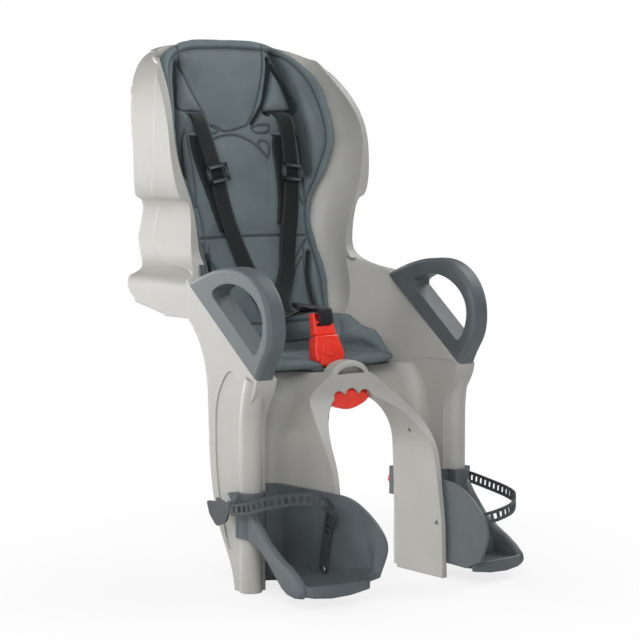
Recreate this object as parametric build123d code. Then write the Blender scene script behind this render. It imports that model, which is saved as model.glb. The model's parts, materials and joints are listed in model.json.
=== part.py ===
from build123d import *
from math import asin, cos, degrees, hypot, radians, sin
import os

# Child bike seat with a reclining base. Millimetres, +Z up, the child faces -Y, +X is the right side.
# The origin lies on the flat underside of the recline base, the piece that stays still on the bicycle.

# Moulded shell: walls
WALL = 4.0
ARM_DECK = 12.0
RIM_DEPTH = 14.0

# Moulded shell: outline seen from the front, as half widths and heights
TOP_Z = 532.0
SHOULDER_HALF = 145.0
SHOULDER_DROP = 29.0
HEAD_HALF = 174.0
HEAD_Z = 398.0
WAIST_HALF = 142.0
WAIST_Z = 246.0
ARM_HALF = 188.0
ARM_TOP_Z = 206.0
ARM_CORNER = 12.0
LEG_HALF = 188.0
LEG_BOTTOM_Z = -204.0
TUNNEL_HALF = 84.0
TUNNEL_SPRING_Z = -30.0
TUNNEL_CROWN_Z = 48.0

# Moulded shell: rim seen from the side, as (y, z), from the head down to the waist
RIM = [(128.0, 503.0), (84.0, 457.0), (60.0, 415.0), (50.0, 360.0), (46.0, 300.0), (50.0, 250.0)]
ARM_REAR = (-12.0, 201.0)
ARM_FRONT = (-172.0, 81.0)
LEG_FRONT_Y = -144.0
LEG_BEND_Z = 10.0
SKIRT_LOW_Z = 152.0
SKIRT_REAR = [(126.0, 167.0), (139.0, 180.0), (152.0, 205.0), (176.0, 225.0), (189.0, 250.0),
              (179.0, 280.0),
              (166.0, 308.0), (155.0, 345.0), (152.0, 380.0), (158.0, 420.0), (172.0, 475.0), (188.0,
                                                                                               532.0)]
ARM_UNDER = [(-10.0, 152.0), (-44.0, 112.0), (-58.0, 54.0), (-60.0, 10.0), (-66.0, -60.0), (-88.0, -130.0)]
LEG_TOE_REAR_Y = -120.0

# Moulded shell: front of the nose and of the tunnel walls seen from the side, as (y, z)
NOSE_Y = -131.0
NOSE_Z = 60.0
NOSE = [(-150.0, 32.0), (-182.0, 2.0), (-205.0, -30.0), (-217.0, -80.0)]
TUNNEL_TOE_Y = -227.0
TUNNEL_REAR_Y = -117.0
TUNNEL_TOE_REAR_Y = -128.0
TUNNEL_LIP = 34.0

# Moulded shell: step behind the rim band and flute down the leg, seen from the side, as (y, z)
RELIEF = 1.5
BAND = [(-12.0, 192.0), (60.0, 217.0), (120.0, 228.0), (146.0, 250.0), (126.0, 300.0), (98.0, 370.0),
        (100.0, 440.0), (124.0, 505.0), (160.0, 570.0)]
FLUTE = [(-118.0, -150.0), (-118.0, -60.0), (-118.0, 10.0), (-124.0, 60.0), (-112.0, 88.0), (-88.0, 66.0),
         (-76.0, 10.0), (-80.0, -60.0), (-106.0, -150.0)]

# Room for the child: backrest plane, seat, and the half width and rim of the back at each height
BACK_Y = 158.0
BACK_Z = 432.0
BACK_LEAN = 0.25
TORSO = [(78.0, 122.0, 24.0), (150.0, 125.0, 40.0), (221.0, 129.0, 54.0), (260.0, 131.0, 54.0),
         (320.0, 148.0, 51.0), (400.0, 165.0, 56.0), (457.0, 155.0, 84.0), (505.0, 140.0, 124.0),
         (545.0, 128.0, 160.0)]
SEAT_Z = 75.0
SEAT_REAR_Y = 60.0
SEAT_REAR_HALF = 100.0
SEAT_HALF = 143.0
SEAT_FRONT_HALF = 153.0
SEAT_SPREAD = 20.0
SEAT_WALL_Z = 221.0

# Room for the legs: height, inner wall at the mouth, back wall
CHANNEL_BACK_Y = -95.0
CHANNEL_IN = 91.0
CHANNEL_OUT = 158.0
CHANNEL_FLARE = 0.08
CHANNEL_R = 22.0
CHANNEL_STRAIGHT_Z = [-270.0, -225.0, -180.0, -135.0, -90.0, -50.0, -15.0]
CHANNEL_KNEE = [(12.0, 85.0, -93.0), (35.0, 74.0, -88.0), (55.0, 56.0, -78.0), (72.0, 31.0, -62.0),
                (86.0, 8.0, -40.0)]
SIDE_SPLIT = 122.0
SIDE_FAR = 260.0
REACH = 420.0
FAR = 600.0
HEAD_TOP = (196.0, 580.0)

# Rounded post down the front of each leg, which the footrest slides on
POST_X = 177.0
POST_Y = -142.0
POST_R = 15.0
POST_TOP_Y = -156.0

# Slots for the harness
SLOT_X = 76.0
SLOT_W = 38.0
SLOT_H = 11.0
SLOT_Z = 432.0
LOWER_SLOT_Z = 404.0
CROTCH_Y = -76.0
CROTCH_W = 30.0

# Nose: hood rib, finger notch for the lever and small windows in the tunnel walls
HOOD_HALF = 33.0
HOOD_H = 23.0
HOOD_L = 25.0
HOOD_Z = 70.0
HOOD_EDGE_R = 4.0
HOOD_RIM = 8.0
HOOD_SCOOP = 12.0
NOTCH_R = 12.0
NOTCH_PITCH = 22.0
NOTCH_DEPTH = 7.0
WINDOWS = [(-159.0, -5.0), (-214.0, -128.0)]
WINDOW_H = 7.0
WINDOW_L = 8.0

# Armrests
ARM_X = 174.0
ARM_W = 30.0
ARM_LOOP = [(-62.0, 219.0), (-112.0, 227.0), (-150.0, 222.0), (-183.0, 200.0), (-200.0, 165.0),
            (-197.0, 124.0)]
ARM_HOLE = [(-66.0, 190.0), (-98.0, 204.0), (-130.0, 204.0), (-165.0, 190.0), (-185.0, 165.0),
            (-181.0, 130.0),
            (-168.0, 113.0)]
ARM_EDGE_R = 7.0
HOLE_EDGE_R = 6.0

# Cushion
PAD_GAP = 0.6
PAD_T = 12.0
PAD_OUTLINE = [(76.0, 531.0), (117.0, 508.0), (139.0, 455.0), (145.0, 392.0), (124.0, 336.0),
               (105.0, 300.0),
               (100.0, 262.0), (105.0, 228.0), (110.0, 190.0), (108.0, 140.0)]
PAD_TOP_Z = 536.0
PAD_LOW = (100.0, 92.0)
PAD_FRONT_Y = -88.0
PAD_SEAT_HALF = 137.0
PAD_REAR_HALF = 86.0
PAD_WING = [(60.0, 150.0), (8.0, 144.0), (-22.0, 124.0), (-48.0, 94.0), (-70.0, 90.0), (-120.0, 90.0)]

# Harness
WEB_W = 26.0
WEB_T = 1.8
ADJUSTER_AT = 138.0
ADJUSTER_L = 22.0
ADJUSTER_T = 6.0
ADJUSTER_BAR = 4.0
ANCHOR_T = 4.0
ANCHOR_STAND = 2.0
ANCHOR_RISE = 8.0
ANCHOR_H = 12.0
WEB_GAP = 0.4
STRAP_END_X = 14.0
STRAP_BEND_R = 6.0
KEEPER_Y = -34.0
KEEPER_Z = 157.0
KEEPER_TILT = 8.0
KEEPER_L = 16.0
KEEPER_T = 8.0
KEEPER_UPPER = 1.4
KEEPER_LOWER = -1.8
TONGUE_WEB_W = 24.0

# Buckle
BUCKLE_FOOT = (0.0, -76.0, 92.0)
BUCKLE_LEAN = 17.0
BUCKLE_W = 42.0
BUCKLE_T = 18.0
BUCKLE_L = 40.0
TONGUE_L = 30.0
TONGUE_W = 38.0
TONGUE_T = 9.0
TONGUE_EYE = 8.0
TONGUE_EYE_W = 28.0
TONGUE_GAP = 0.4
BUTTON_R = 10.0
BUTTON_AT = 17.0
BUTTON_PROUD = 1.2
BUTTON_T = 5.5
BUTTON_SPRING_L = 9.0

# Footrests
FOOT_GAP = 1.0
FOOT_WALL = 4.0
FOOT_FLOOR = 5.0
FOOT_TOP_Z = -70.0
FOOT_LOW_Z = -200.0
FOOT_HEEL_Z = -192.0
FOOT_TOE = (-311.0, -160.0)
TOE_CENTRE_Y = -260.0
TOE_LENGTH = 50.0
GUARD = [(-225.0, -71.0), (-279.0, -86.0), (-318.0, -126.0), (-303.0, -170.0)]
COLLAR_GAP = 0.4
COLLAR_WALL = 5.0
COLLAR_LOW_Z = -130.0
LUG_OUT = 211.0
LUG_H = 18.0
RAIL_SLOT_X = 126.0
RAIL_SLOT_W = 9.0
RAIL_SLOT_LOW_Z = -150.0
RAIL_SLOT_TOP_Z = 15.0
LOCK_Z = -90.0
LOCK_R = 7.0
LOCK_TIP_Y = -62.0
BLOCK_REAR_Y = -74.0
FOOT_WEB_H = 13.0
FOOT_WEB_T = 2.2
FOOT_SOLE_Y = -232.0
FOOT_ARM = [(-242.0, -127.0), (-304.0, -153.0)]
FOOT_LIP = 6.0
LIP_T = 3.0
LOCK_FIT = 0.3
LOCK_SEAT = 8.0
PEG_R = 2.5
RIVET_FIT = 0.1
PEG_Y = -136.0
STRAP_Z = -82.0
STRAP_TAIL_Y = -90.0
STRAP_TAB = [(-44.0, 6.5), (-4.0, 6.5), (4.0, -38.0), (-26.0, -36.0)]
STRAP_TAB_R = 5.0
STRAP_GUARD_Y = -206.0
STRAP_END_Z = -182.0
STRAP_SLOT_END = 60.0
STRAP_SLOT_PITCH = 10.0
STRAP_SLOT_L = 6.0
STRAP_SLOT_H = 6.5

# Recline: rails on an arc about an axis above the seat
ARC_Y = -10.0
ARC_Z = 330.0
ARC_R = 300.0
RUN_GAP = 0.4
RAIL_HALF = 34.0
RAIL_LIP = 6.0
RAIL_T = 6.0
BASE_FRONT_Y = -40.0
BASE_REAR_Y = 90.0
RAIL_FRONT_Y = -58.0
RAIL_REAR_Y = 85.0
CARRIAGE_FRONT_Y = -55.0
CARRIAGE_REAR_Y = 58.0
CARRIAGE_WALL = 6.0
ROD_R = 6.0
ROD_GAP = 0.15
ROD_X = 18.0
ROD_Z = 13.0
GROOVE_HALF = 8.0
GROOVE_DEPTH = 9.0

# Recline lever: a grip under the nose on a shank that turns on a pin in the carriage
LEVER_HALF = 36.0
LEVER_LOW_Z = 25.0
LEVER_TOP_Z = 54.0
LEVER_TIP_Z = 40.0
LEVER_FRONT_Y = -126.5
LEVER_REAR_Y = -108.0
LEVER_POCKET = 4.0
LEVER_RISE = 13.0
SHANK_HALF = 11.0
SHANK_T = 10.0
PIN_Y = -5.0
PIN_Z = 41.0
PIN_R = 3.0
PIN_FIT = 0.08
PIN_HALF = 30.0
TOOTH_Y = -40.0
TOOTH_L = 8.0
TOOTH_HALF = 5.0
TOOTH_LOW_Z = 26.5
LEVER_GAP = 0.6
LEVER_SPRING_Y = -28.0

# Leaf springs
SPRING_T = 0.6
SPRING_W = 5.0
SPRING_SEAT = 0.4

# Fasteners
SCREW_R = 2.5
SCREW_HEAD_R = 4.8
SCREW_HEAD_H = 3.0
SCREW_FIT = 0.2
CARRIAGE_SCREW_L = 18.0
ARM_SCREW_L = 26.0
ARM_SCREW_X = 176.5
CARRIAGE_SCREW_X = 26.0
CARRIAGE_SCREW_Y = (-38.0, 40.0)


def mirrored(edges):
    return edges + [mirror(edge, about=Plane.YZ) for edge in edges]


def both_sides(shape):
    return shape + mirror(shape, about=Plane.YZ)


def left(shape):
    return mirror(shape, about=Plane.YZ)


def side_prism(edges, x_from, x_to):
    """Solid of a side view, drawn as (y, z), between two x planes."""
    return extrude(Plane.YZ.offset(x_from) * make_face(edges), x_to - x_from)


def polyline_edges(points):
    return [Line(a, b) for a, b in zip(points, points[1:])]


def block(x0, x1, y0, y1, z0, z1):
    return Pos((x0 + x1) / 2, (y0 + y1) / 2, (z0 + z1) / 2) * Box(x1 - x0, y1 - y0, z1 - z0)


def back_y(z):
    return BACK_Y + BACK_LEAN * (z - BACK_Z)


def front_outline(inset=0.0):
    """The shell seen from the front, with the wheel tunnel open between the legs."""
    top = TOP_Z - inset
    head = HEAD_HALF - inset
    shoulder = SHOULDER_HALF - 0.8 * inset
    waist = WAIST_HALF - inset
    arm = ARM_HALF - inset
    arm_top = ARM_TOP_Z - inset
    leg = LEG_HALF - inset
    low = LEG_BOTTOM_Z + inset
    tunnel = TUNNEL_HALF + inset
    crown = TUNNEL_CROWN_Z + inset
    flank = ((head + waist) / 2 + 3, (HEAD_Z + WAIST_Z) / 2 - 8)
    half = [
        Spline((0, top), (shoulder, top - SHOULDER_DROP), (head, HEAD_Z), flank, (waist, WAIST_Z),
               tangents=((1, 0), (0, -1))),
        Spline((waist, WAIST_Z), (arm - ARM_CORNER, arm_top), tangents=((0, -1), (1, -0.25))),
        Spline((arm - ARM_CORNER, arm_top), (arm, arm_top - ARM_CORNER - 6),
               tangents=((1, -0.25), (0, -1))),
        Line((arm, arm_top - ARM_CORNER - 6), (leg, low)),
        Line((leg, low), (tunnel, low)),
        Line((tunnel, low), (tunnel, TUNNEL_SPRING_Z)),
        EllipticalCenterArc((0, TUNNEL_SPRING_Z), tunnel, crown - TUNNEL_SPRING_Z, start_angle=0,
                            arc_size=90),
    ]
    return make_face(mirrored(half))


def rim_edges(back, down):
    """Front edge of the outer walls seen from the side, moved back and down for the hollow behind it."""
    head = Spline((HEAD_TOP[0] + back, HEAD_TOP[1]), *[(y + back, z) for y, z in RIM],
                  tangents=((-0.9, -1), (0, -1)))
    slope = (ARM_REAR[1] - ARM_FRONT[1]) / (ARM_REAR[0] - ARM_FRONT[0])
    drop = down * hypot(1, slope)
    rear = (ARM_REAR[0], ARM_REAR[1] - drop)
    front = (ARM_FRONT[0] + back, ARM_FRONT[1] + slope * back - drop)
    leg = (LEG_FRONT_Y + back, LEG_BEND_Z)
    return [
        head,
        Spline((RIM[-1][0] + back, RIM[-1][1]), rear, tangents=((0, -1), (-1, -0.6))),
        Line(rear, front),
        Spline(front, leg, tangents=((0.15, -1), (0, -1))),
        Line(leg, (leg[0], LEG_BOTTOM_Z - 96)),
    ]


def nose_edges(back):
    """Front edge of the nose and of the tunnel walls seen from the side."""
    points = [(NOSE_Y, NOSE_Z)] + NOSE + [(TUNNEL_TOE_Y, LEG_BOTTOM_Z)]
    return [
        Line((NOSE_Y + back, SIDE_FAR), (NOSE_Y + back, NOSE_Z)),
        Spline(*[(y + back, z) for y, z in points], tangents=((0, -1), (0, -1))),
    ]


def behind(edges, x_from, x_to):
    """Everything behind a front edge, between two x planes."""
    top = edges[0] @ 0
    low = edges[-1] @ 1
    corners = [(low.X, low.Y), (REACH, low.Y), (REACH, top.Y), (top.X, top.Y)]
    return side_prism(edges + polyline_edges(corners), x_from, x_to)


def torso_room(grow):
    """Room for the back: level sections with wings, lofted upwards. grow moves its wall outwards."""
    reach = 160 - 8 * grow
    sections = []
    for z, half, rim_y in TORSO:
        wide = half + grow
        deep = back_y(z) + grow
        d = deep - rim_y
        curve = Spline((0, deep), (0.50 * wide, deep - 0.02 * d), (0.82 * wide, deep - 0.20 * d),
                       (wide, rim_y),
                       tangents=((1, 0), (0, -1)))
        side = Line((wide, rim_y), (wide, rim_y - reach))
        front = Line((wide, rim_y - reach), (0, rim_y - reach))
        level = z - grow if z in (TORSO[0][0], TORSO[-1][0]) else z
        sections.append(Pos(0, 0, level) * make_face(mirrored([curve, side, front])))
    return loft(sections)


def seat_room(grow):
    """Room above the seat, between the arms."""
    front_y = -450 + 4 * grow
    sections = []
    for z, spread in ((SEAT_Z - grow, 0.0), (SEAT_WALL_Z, SEAT_SPREAD)):
        w = grow + spread
        rear = (SEAT_REAR_HALF + w, SEAT_REAR_Y)
        knee = (SEAT_FRONT_HALF + w, -90)
        half = [
            Line((0, SEAT_REAR_Y), rear),
            Spline(rear, (SEAT_HALF + w, 0), knee, tangents=((0.7, -1), (0, -1))),
            Line(knee, (knee[0], front_y)),
            Line((knee[0], front_y), (0, front_y)),
        ]
        sections.append(Pos(0, 0, z) * make_face(mirrored(half)))
    return loft(sections)


def channel_plan(grow, inner, back, far=REACH):
    """Leg channel seen from above: open towards -Y, with rounded rear corners."""
    x_in = inner - grow
    y_back = back + grow
    x_out = CHANNEL_OUT + grow
    rear_in = x_in + CHANNEL_FLARE * (y_back - TUNNEL_TOE_Y)
    mouth_in = x_in + CHANNEL_FLARE * (-far - TUNNEL_TOE_Y)
    points = [(mouth_in, -far), (rear_in, y_back), (x_out - 4, y_back), (x_out, -far)]
    face = make_face(polyline_edges(points + points[:1]))
    return fillet(face.vertices().sort_by(Axis.Y)[-2:], CHANNEL_R)


def channel_room(grow):
    """Room for the right leg: straight below, opening over the knee into the seat."""
    rows = [(z, CHANNEL_IN, CHANNEL_BACK_Y) for z in CHANNEL_STRAIGHT_Z] + CHANNEL_KNEE
    sections = []
    for z, inner, back in rows:
        level = z + 3 * grow if z == CHANNEL_STRAIGHT_Z[0] else z
        sections.append(Pos(0, 0, level) * channel_plan(grow, inner, back, REACH - 4 * grow))
    return loft(sections)


def child_room(grow):
    return torso_room(grow) + seat_room(grow) + both_sides(channel_room(grow))


def side_envelope():
    """What the outer walls and the tunnel walls may fill, seen from the side."""
    head, shoulder, deck, knee, _ = rim_edges(0, 0)
    top = head @ 0
    skirt_end = SKIRT_REAR[-1]
    back = side_prism(
        [head] + polyline_edges([RIM[-1], (40, SKIRT_LOW_Z), SKIRT_REAR[0]])
        + [Spline(*SKIRT_REAR, tangents=((0.2, 1), (0.25, 1)))]
        + polyline_edges([skirt_end, (HEAD_TOP[0] + 9, HEAD_TOP[1]), (top.X, top.Y)]),
        -SIDE_FAR, SIDE_FAR)
    under = [(LEG_TOE_REAR_Y, LEG_BOTTOM_Z)] + ARM_UNDER[::-1]
    arm = side_prism(
        [shoulder, deck, knee]
        + polyline_edges([(LEG_FRONT_Y, LEG_BEND_Z), (LEG_FRONT_Y, LEG_BOTTOM_Z), under[0]])
        + [Spline(*under, tangents=((0.1, 1), (1, 0.6)))]
        + polyline_edges([ARM_UNDER[0], (RIM[-1][0], SKIRT_LOW_Z), RIM[-1]]),
        SIDE_SPLIT, SIDE_FAR)
    _, nose = nose_edges(0)
    corners = [(TUNNEL_TOE_Y, LEG_BOTTOM_Z), (TUNNEL_TOE_REAR_Y, LEG_BOTTOM_Z),
               (TUNNEL_REAR_Y, TUNNEL_SPRING_Z),
               (TUNNEL_REAR_Y, SEAT_Z + 2), (NOSE_Y, SEAT_Z + 2), (NOSE_Y, NOSE_Z)]
    tunnel = side_prism([nose] + polyline_edges(corners), -SIDE_SPLIT, SIDE_SPLIT)
    return back + both_sides(arm) + tunnel


def rear_hollow():
    """What is taken out from behind, so that rims, arms and legs are thin walls open at the back."""
    outer = both_sides(behind(rim_edges(RIM_DEPTH, ARM_DECK), SIDE_SPLIT, SIDE_FAR))
    back = block(-SIDE_SPLIT - 1, SIDE_SPLIT + 1, 0, REACH - 20, SKIRT_LOW_Z - 5, HEAD_TOP[1] + 10)
    low = block(-FAR, FAR, -FAR, FAR, -FAR, TUNNEL_CROWN_Z - 8)
    tunnel = behind(nose_edges(TUNNEL_LIP), -SIDE_SPLIT, SIDE_SPLIT) & low
    return (outer + back + tunnel) & extrude(Plane.XZ * front_outline(WALL), FAR + 10, both=True)


def post_path():
    """Centre line of the leg post: straight, then leaning forward under the armrest."""
    rise = ARM_FRONT[1] - LEG_BEND_Z
    lean = POST_Y - POST_TOP_Y
    radius = (rise ** 2 + lean ** 2) / (2 * lean)
    straight = Line((POST_Y, LEG_BOTTOM_Z), (POST_Y, LEG_BEND_Z))
    bend = JernArc(start=(POST_Y, LEG_BEND_Z), tangent=(0, 1), radius=radius,
                   arc_size=degrees(asin(rise / radius)))
    return Pos(POST_X, 0, 0) * (Plane.YZ * (straight + bend))


def post(radius):
    return sweep(Pos(POST_X, POST_Y, LEG_BOTTOM_Z) * Circle(radius), path=post_path())


def hood():
    """Rounded rib standing on the nose, scooped out at the front."""
    face = Plane.XZ.offset(-NOSE_Y)
    rib = extrude(face * (Pos(0, HOOD_Z) * Ellipse(HOOD_HALF, HOOD_H)), -HOOD_L)
    rib = fillet(rib.edges(), HOOD_EDGE_R)
    rib -= extrude(face * (Pos(0, HOOD_Z) * Ellipse(HOOD_HALF - HOOD_RIM, HOOD_H - HOOD_RIM)), -HOOD_SCOOP)
    return rib & block(-2 * HOOD_HALF, 2 * HOOD_HALF, 2 * NOSE_Y, 0, HOOD_Z - 1, HOOD_Z + 2 * HOOD_H)


def outer_relief():
    """Shallow steps in the outside: behind the band along the rim, and a flute down each leg."""
    skin = extrude(Plane.XZ * front_outline(-1), FAR + 20, both=True)
    skin -= extrude(Plane.XZ * front_outline(RELIEF), FAR + 30, both=True)
    low = SKIRT_LOW_Z - 40
    corners = [BAND[-1], (REACH, BAND[-1][1]), (REACH, low), (BAND[0][0], low), BAND[0]]
    band = side_prism([Spline(*BAND)] + polyline_edges(corners), SIDE_SPLIT, SIDE_FAR)
    flute = side_prism([Spline(*FLUTE), Line(FLUTE[-1], FLUTE[0])], SIDE_SPLIT, SIDE_FAR)
    return both_sides(skin & (band + flute))


def shell_cuts():
    """Harness slots, footrest slots, finger notch and the small windows."""
    cuts = []
    for z in (SLOT_Z, LOWER_SLOT_Z):
        slot = Pos(SLOT_X, back_y(z), z) * (Rot(X=90) * extrude(SlotOverall(SLOT_W, SLOT_H), 30, both=True))
        cuts.append(both_sides(slot))
    cuts.append(Pos(0, CROTCH_Y, SEAT_Z) * extrude(SlotOverall(CROTCH_W, SLOT_H), 20, both=True))
    middle_z = (RAIL_SLOT_LOW_Z + RAIL_SLOT_TOP_Z) / 2
    slot = SlotOverall(RAIL_SLOT_TOP_Z - RAIL_SLOT_LOW_Z, RAIL_SLOT_W, rotation=90)
    slot = Pos(RAIL_SLOT_X, CHANNEL_BACK_Y + WALL / 2, middle_z) * (Rot(X=90) * extrude(slot, WALL,
                                                                                        both=True))
    cuts.append(both_sides(slot))
    for k in (-1, 0, 1):
        scallop = Rot(X=90) * Cylinder(NOTCH_R, 60)
        cuts.append(Pos(k * NOTCH_PITCH, NOSE_Y,
                        TUNNEL_CROWN_Z + NOTCH_DEPTH - NOTCH_R - 3 * abs(k)) * scallop)
    cuts.append(block(-LEVER_HALF - LEVER_POCKET, LEVER_HALF + LEVER_POCKET, LEVER_FRONT_Y - 1,
                      LEVER_REAR_Y + 30,
                      0, LEVER_TOP_Z + LEVER_RISE))
    for y, z in WINDOWS:
        corners = [(y - WINDOW_L / 2, z - WINDOW_H / 2), (y + WINDOW_L / 2, z - WINDOW_H / 2),
                   (y, z + WINDOW_H / 2)]
        window = side_prism(polyline_edges(corners + corners[:1]), TUNNEL_HALF - 8, TUNNEL_HALF + WALL + 3)
        cuts.append(both_sides(window))
    for x in (-CARRIAGE_SCREW_X, CARRIAGE_SCREW_X):
        for y in CARRIAGE_SCREW_Y:
            cuts.append(Pos(x, y, SEAT_Z - SCREW_HEAD_H / 2) * Cylinder(SCREW_HEAD_R + SCREW_FIT,
                                                                        SCREW_HEAD_H + 0.1))
            cuts.append(Pos(x, y, SEAT_Z - WALL) * Cylinder(SCREW_R + SCREW_FIT, 3 * WALL))
    return cuts


def seat_shell():
    outline = extrude(Plane.XZ * front_outline(), FAR, both=True)
    walls = (outline & side_envelope()) - rear_hollow()
    walls += both_sides(post(POST_R))
    front = both_sides(behind(rim_edges(0, 0), SIDE_SPLIT, SIDE_FAR)) + behind(nose_edges(0),
                                                                               -SIDE_SPLIT, SIDE_SPLIT)
    front += block(-SIDE_SPLIT, SIDE_SPLIT, NOSE_Y - 4, REACH - 25, WAIST_Z, FAR + 50)
    lining = (outline & front) & child_room(WALL)
    shell = (walls - outer_relief() + lining) - child_room(0.0)
    shell += hood()
    for cut in shell_cuts():
        shell -= cut
    for screw in arm_screw_places():
        shell -= both_sides(screw * Cylinder(SCREW_R + SCREW_FIT, 2 * ARM_SCREW_L))
    bore = post(POST_R - WALL) + Pos(POST_X, POST_Y, LEG_BOTTOM_Z) * Cylinder(POST_R - WALL, 2 * WALL)
    return shell - both_sides(bore)


def arm_screw_places():
    """Placements of the right armrest's screws, with local Z up into the armrest."""
    dy = ARM_REAR[0] - ARM_FRONT[0]
    dz = ARM_REAR[1] - ARM_FRONT[1]
    length = hypot(dy, dz)
    up = (0, -dz / length, dy / length)
    places = []
    for share in (0.3, 0.7):
        y = ARM_FRONT[0] + share * dy
        z = ARM_FRONT[1] + share * dz
        places.append(Plane(origin=(ARM_SCREW_X, y, z), x_dir=(1, 0, 0), z_dir=up).location)
    return places


def armrest():
    """Right armrest: a loop on the sloping arm, with a web under the hand hole."""
    loop = [
        Spline(ARM_REAR, *ARM_LOOP, ARM_FRONT, tangents=((-1, 0.45), (0.45, -1))),
        Line(ARM_FRONT, ARM_REAR),
    ]
    hole = make_face([Spline(*ARM_HOLE), Line(ARM_HOLE[-1], ARM_HOLE[0])])
    hole = fillet(hole.vertices(), HOLE_EDGE_R)
    body = side_prism(loop, ARM_X - ARM_W / 2, ARM_X + ARM_W / 2)
    outer = body.edges().filter_by(GeomType.BSPLINE)
    body = fillet(outer, ARM_EDGE_R)
    cut = extrude(Plane.YZ.offset(ARM_X) * hole, ARM_W, both=True)
    body -= cut
    for place in arm_screw_places():
        body -= place * Pos(0, 0, ARM_SCREW_L / 4) * Cylinder(SCREW_R + SCREW_FIT, ARM_SCREW_L / 2 + 3)
    return body


def screw(length):
    """Round-headed screw along local Z, with its head below the origin."""
    shank = Pos(0, 0, length / 2) * Cylinder(SCREW_R, length)
    head = Pos(0, 0, -SCREW_HEAD_H / 2) * Cylinder(SCREW_HEAD_R, SCREW_HEAD_H)
    return shank + head


def armrest_screws():
    below = Pos(0, 0, -ARM_DECK)
    right = [place * below * screw(ARM_SCREW_L - SCREW_FIT) for place in arm_screw_places()]
    return Compound(right + [left(s) for s in right])


def carriage_screws():
    place = Pos(0, 0, SEAT_Z - SCREW_HEAD_H) * Rot(X=180)
    return Compound([Pos(x, y, 0) * place * screw(CARRIAGE_SCREW_L)
                     for x in (-CARRIAGE_SCREW_X, CARRIAGE_SCREW_X) for y in CARRIAGE_SCREW_Y])


def seat_pad():
    """One cushion folded at the hips: it lines the back, the wings and the seat."""
    half = [
        Spline((0, PAD_TOP_Z), *PAD_OUTLINE, PAD_LOW, tangents=((1, 0), (-0.6, -1))),
        Line(PAD_LOW, (0, PAD_LOW[1])),
    ]
    outline = extrude(Plane.XZ * make_face(mirrored(half)), 300, both=True)
    rim = [(rim_y, z) for z, _, rim_y in TORSO]
    corners = [rim[-1], (REACH, rim[-1][1]), (REACH, rim[0][1]), rim[0]]
    rear = side_prism([Spline(*rim)] + polyline_edges(corners), -SIDE_FAR, SIDE_FAR)
    back = (torso_room(-PAD_GAP) - torso_room(-PAD_GAP - PAD_T)) & outline & rear
    plan = [
        Line((0, SEAT_REAR_Y + 30), (PAD_REAR_HALF, SEAT_REAR_Y + 30)),
        Spline((PAD_REAR_HALF, SEAT_REAR_Y + 30), (PAD_SEAT_HALF, 0), (PAD_SEAT_HALF + 8, -40),
               tangents=((0.5, -1), (0, -1))),
        Spline((PAD_SEAT_HALF + 8, -40), (PAD_SEAT_HALF - 20, PAD_FRONT_Y + 6),
               tangents=((0, -1), (-1, -0.1))),
        Spline((PAD_SEAT_HALF - 20, PAD_FRONT_Y + 6), (0, PAD_FRONT_Y), tangents=((-1, -0.1), (-1, 0))),
    ]
    plan = extrude(make_face(mirrored(plan)), PAD_WING[0][1])
    wing_end = PAD_WING[-1]
    corners = [wing_end, (wing_end[0], 0), (-wing_end[0], 0), (-wing_end[0], PAD_WING[0][1]), PAD_WING[0]]
    side = side_prism([Spline(*PAD_WING)] + polyline_edges(corners), -SIDE_FAR, SIDE_FAR)
    plan = plan & side
    room = torso_room(-PAD_GAP) + seat_room(-PAD_GAP)
    hollow = torso_room(-PAD_GAP - PAD_T) + seat_room(-PAD_GAP - PAD_T)
    seat = ((room - hollow) & plan) - both_sides(channel_room(PAD_GAP))
    pad = back + seat
    for z in (SLOT_Z, LOWER_SLOT_Z):
        slot = Pos(SLOT_X, back_y(z), z) * (Rot(X=90) * extrude(SlotOverall(SLOT_W, SLOT_H), 30, both=True))
        pad -= both_sides(slot)
    return pad - Pos(0, CROTCH_Y, SEAT_Z) * extrude(SlotOverall(CROTCH_W, SLOT_H + 2), 40, both=True)


def ribbon(plane, points, radius, width, thickness):
    """Flat webbing: a path drawn in a plane, as wide as the webbing across that plane."""
    path = FilletPolyline(*points, radius=radius)
    return extrude(plane * trace(path, thickness), width / 2, both=True), path


def strap_plane():
    top = Vector(SLOT_X, back_y(SLOT_Z), SLOT_Z)
    low = slider_plane().from_local_coords(Vector(STRAP_END_X, 0, KEEPER_UPPER))
    along = low - top
    return Plane(origin=top, x_dir=along, z_dir=along.cross(Vector(0, -1, BACK_LEAN)))


def behind_back(z, stand):
    return Vector(SLOT_X, back_y(z) + WALL + stand, z)


def strap_points():
    """Right shoulder webbing: behind the back, through the slot, down the cushion and on to the keeper."""
    plane = strap_plane()
    route = [
        behind_back(SLOT_Z + ANCHOR_RISE + ANCHOR_H, ANCHOR_STAND),
        behind_back(SLOT_Z + 1.5, ANCHOR_STAND),
        Vector(SLOT_X, back_y(SLOT_Z) - PAD_T - 8, SLOT_Z - 2),
        Vector(SLOT_X - 6, back_y(340) - PAD_T - 12, 340),
        Vector(SLOT_X - 21, back_y(250) - PAD_T - 14, 250),
        Vector(STRAP_END_X, KEEPER_Y + 92, KEEPER_Z + 8),
        slider_plane().from_local_coords(Vector(STRAP_END_X, 46, KEEPER_UPPER)),
        slider_plane().from_local_coords(Vector(STRAP_END_X, 0, KEEPER_UPPER)),
    ]
    local = [plane.to_local_coords(point) for point in route]
    return [(point.X, point.Y) for point in local]


def shoulder_strap():
    return ribbon(strap_plane(), strap_points(), STRAP_BEND_R, WEB_W, WEB_T)


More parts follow.
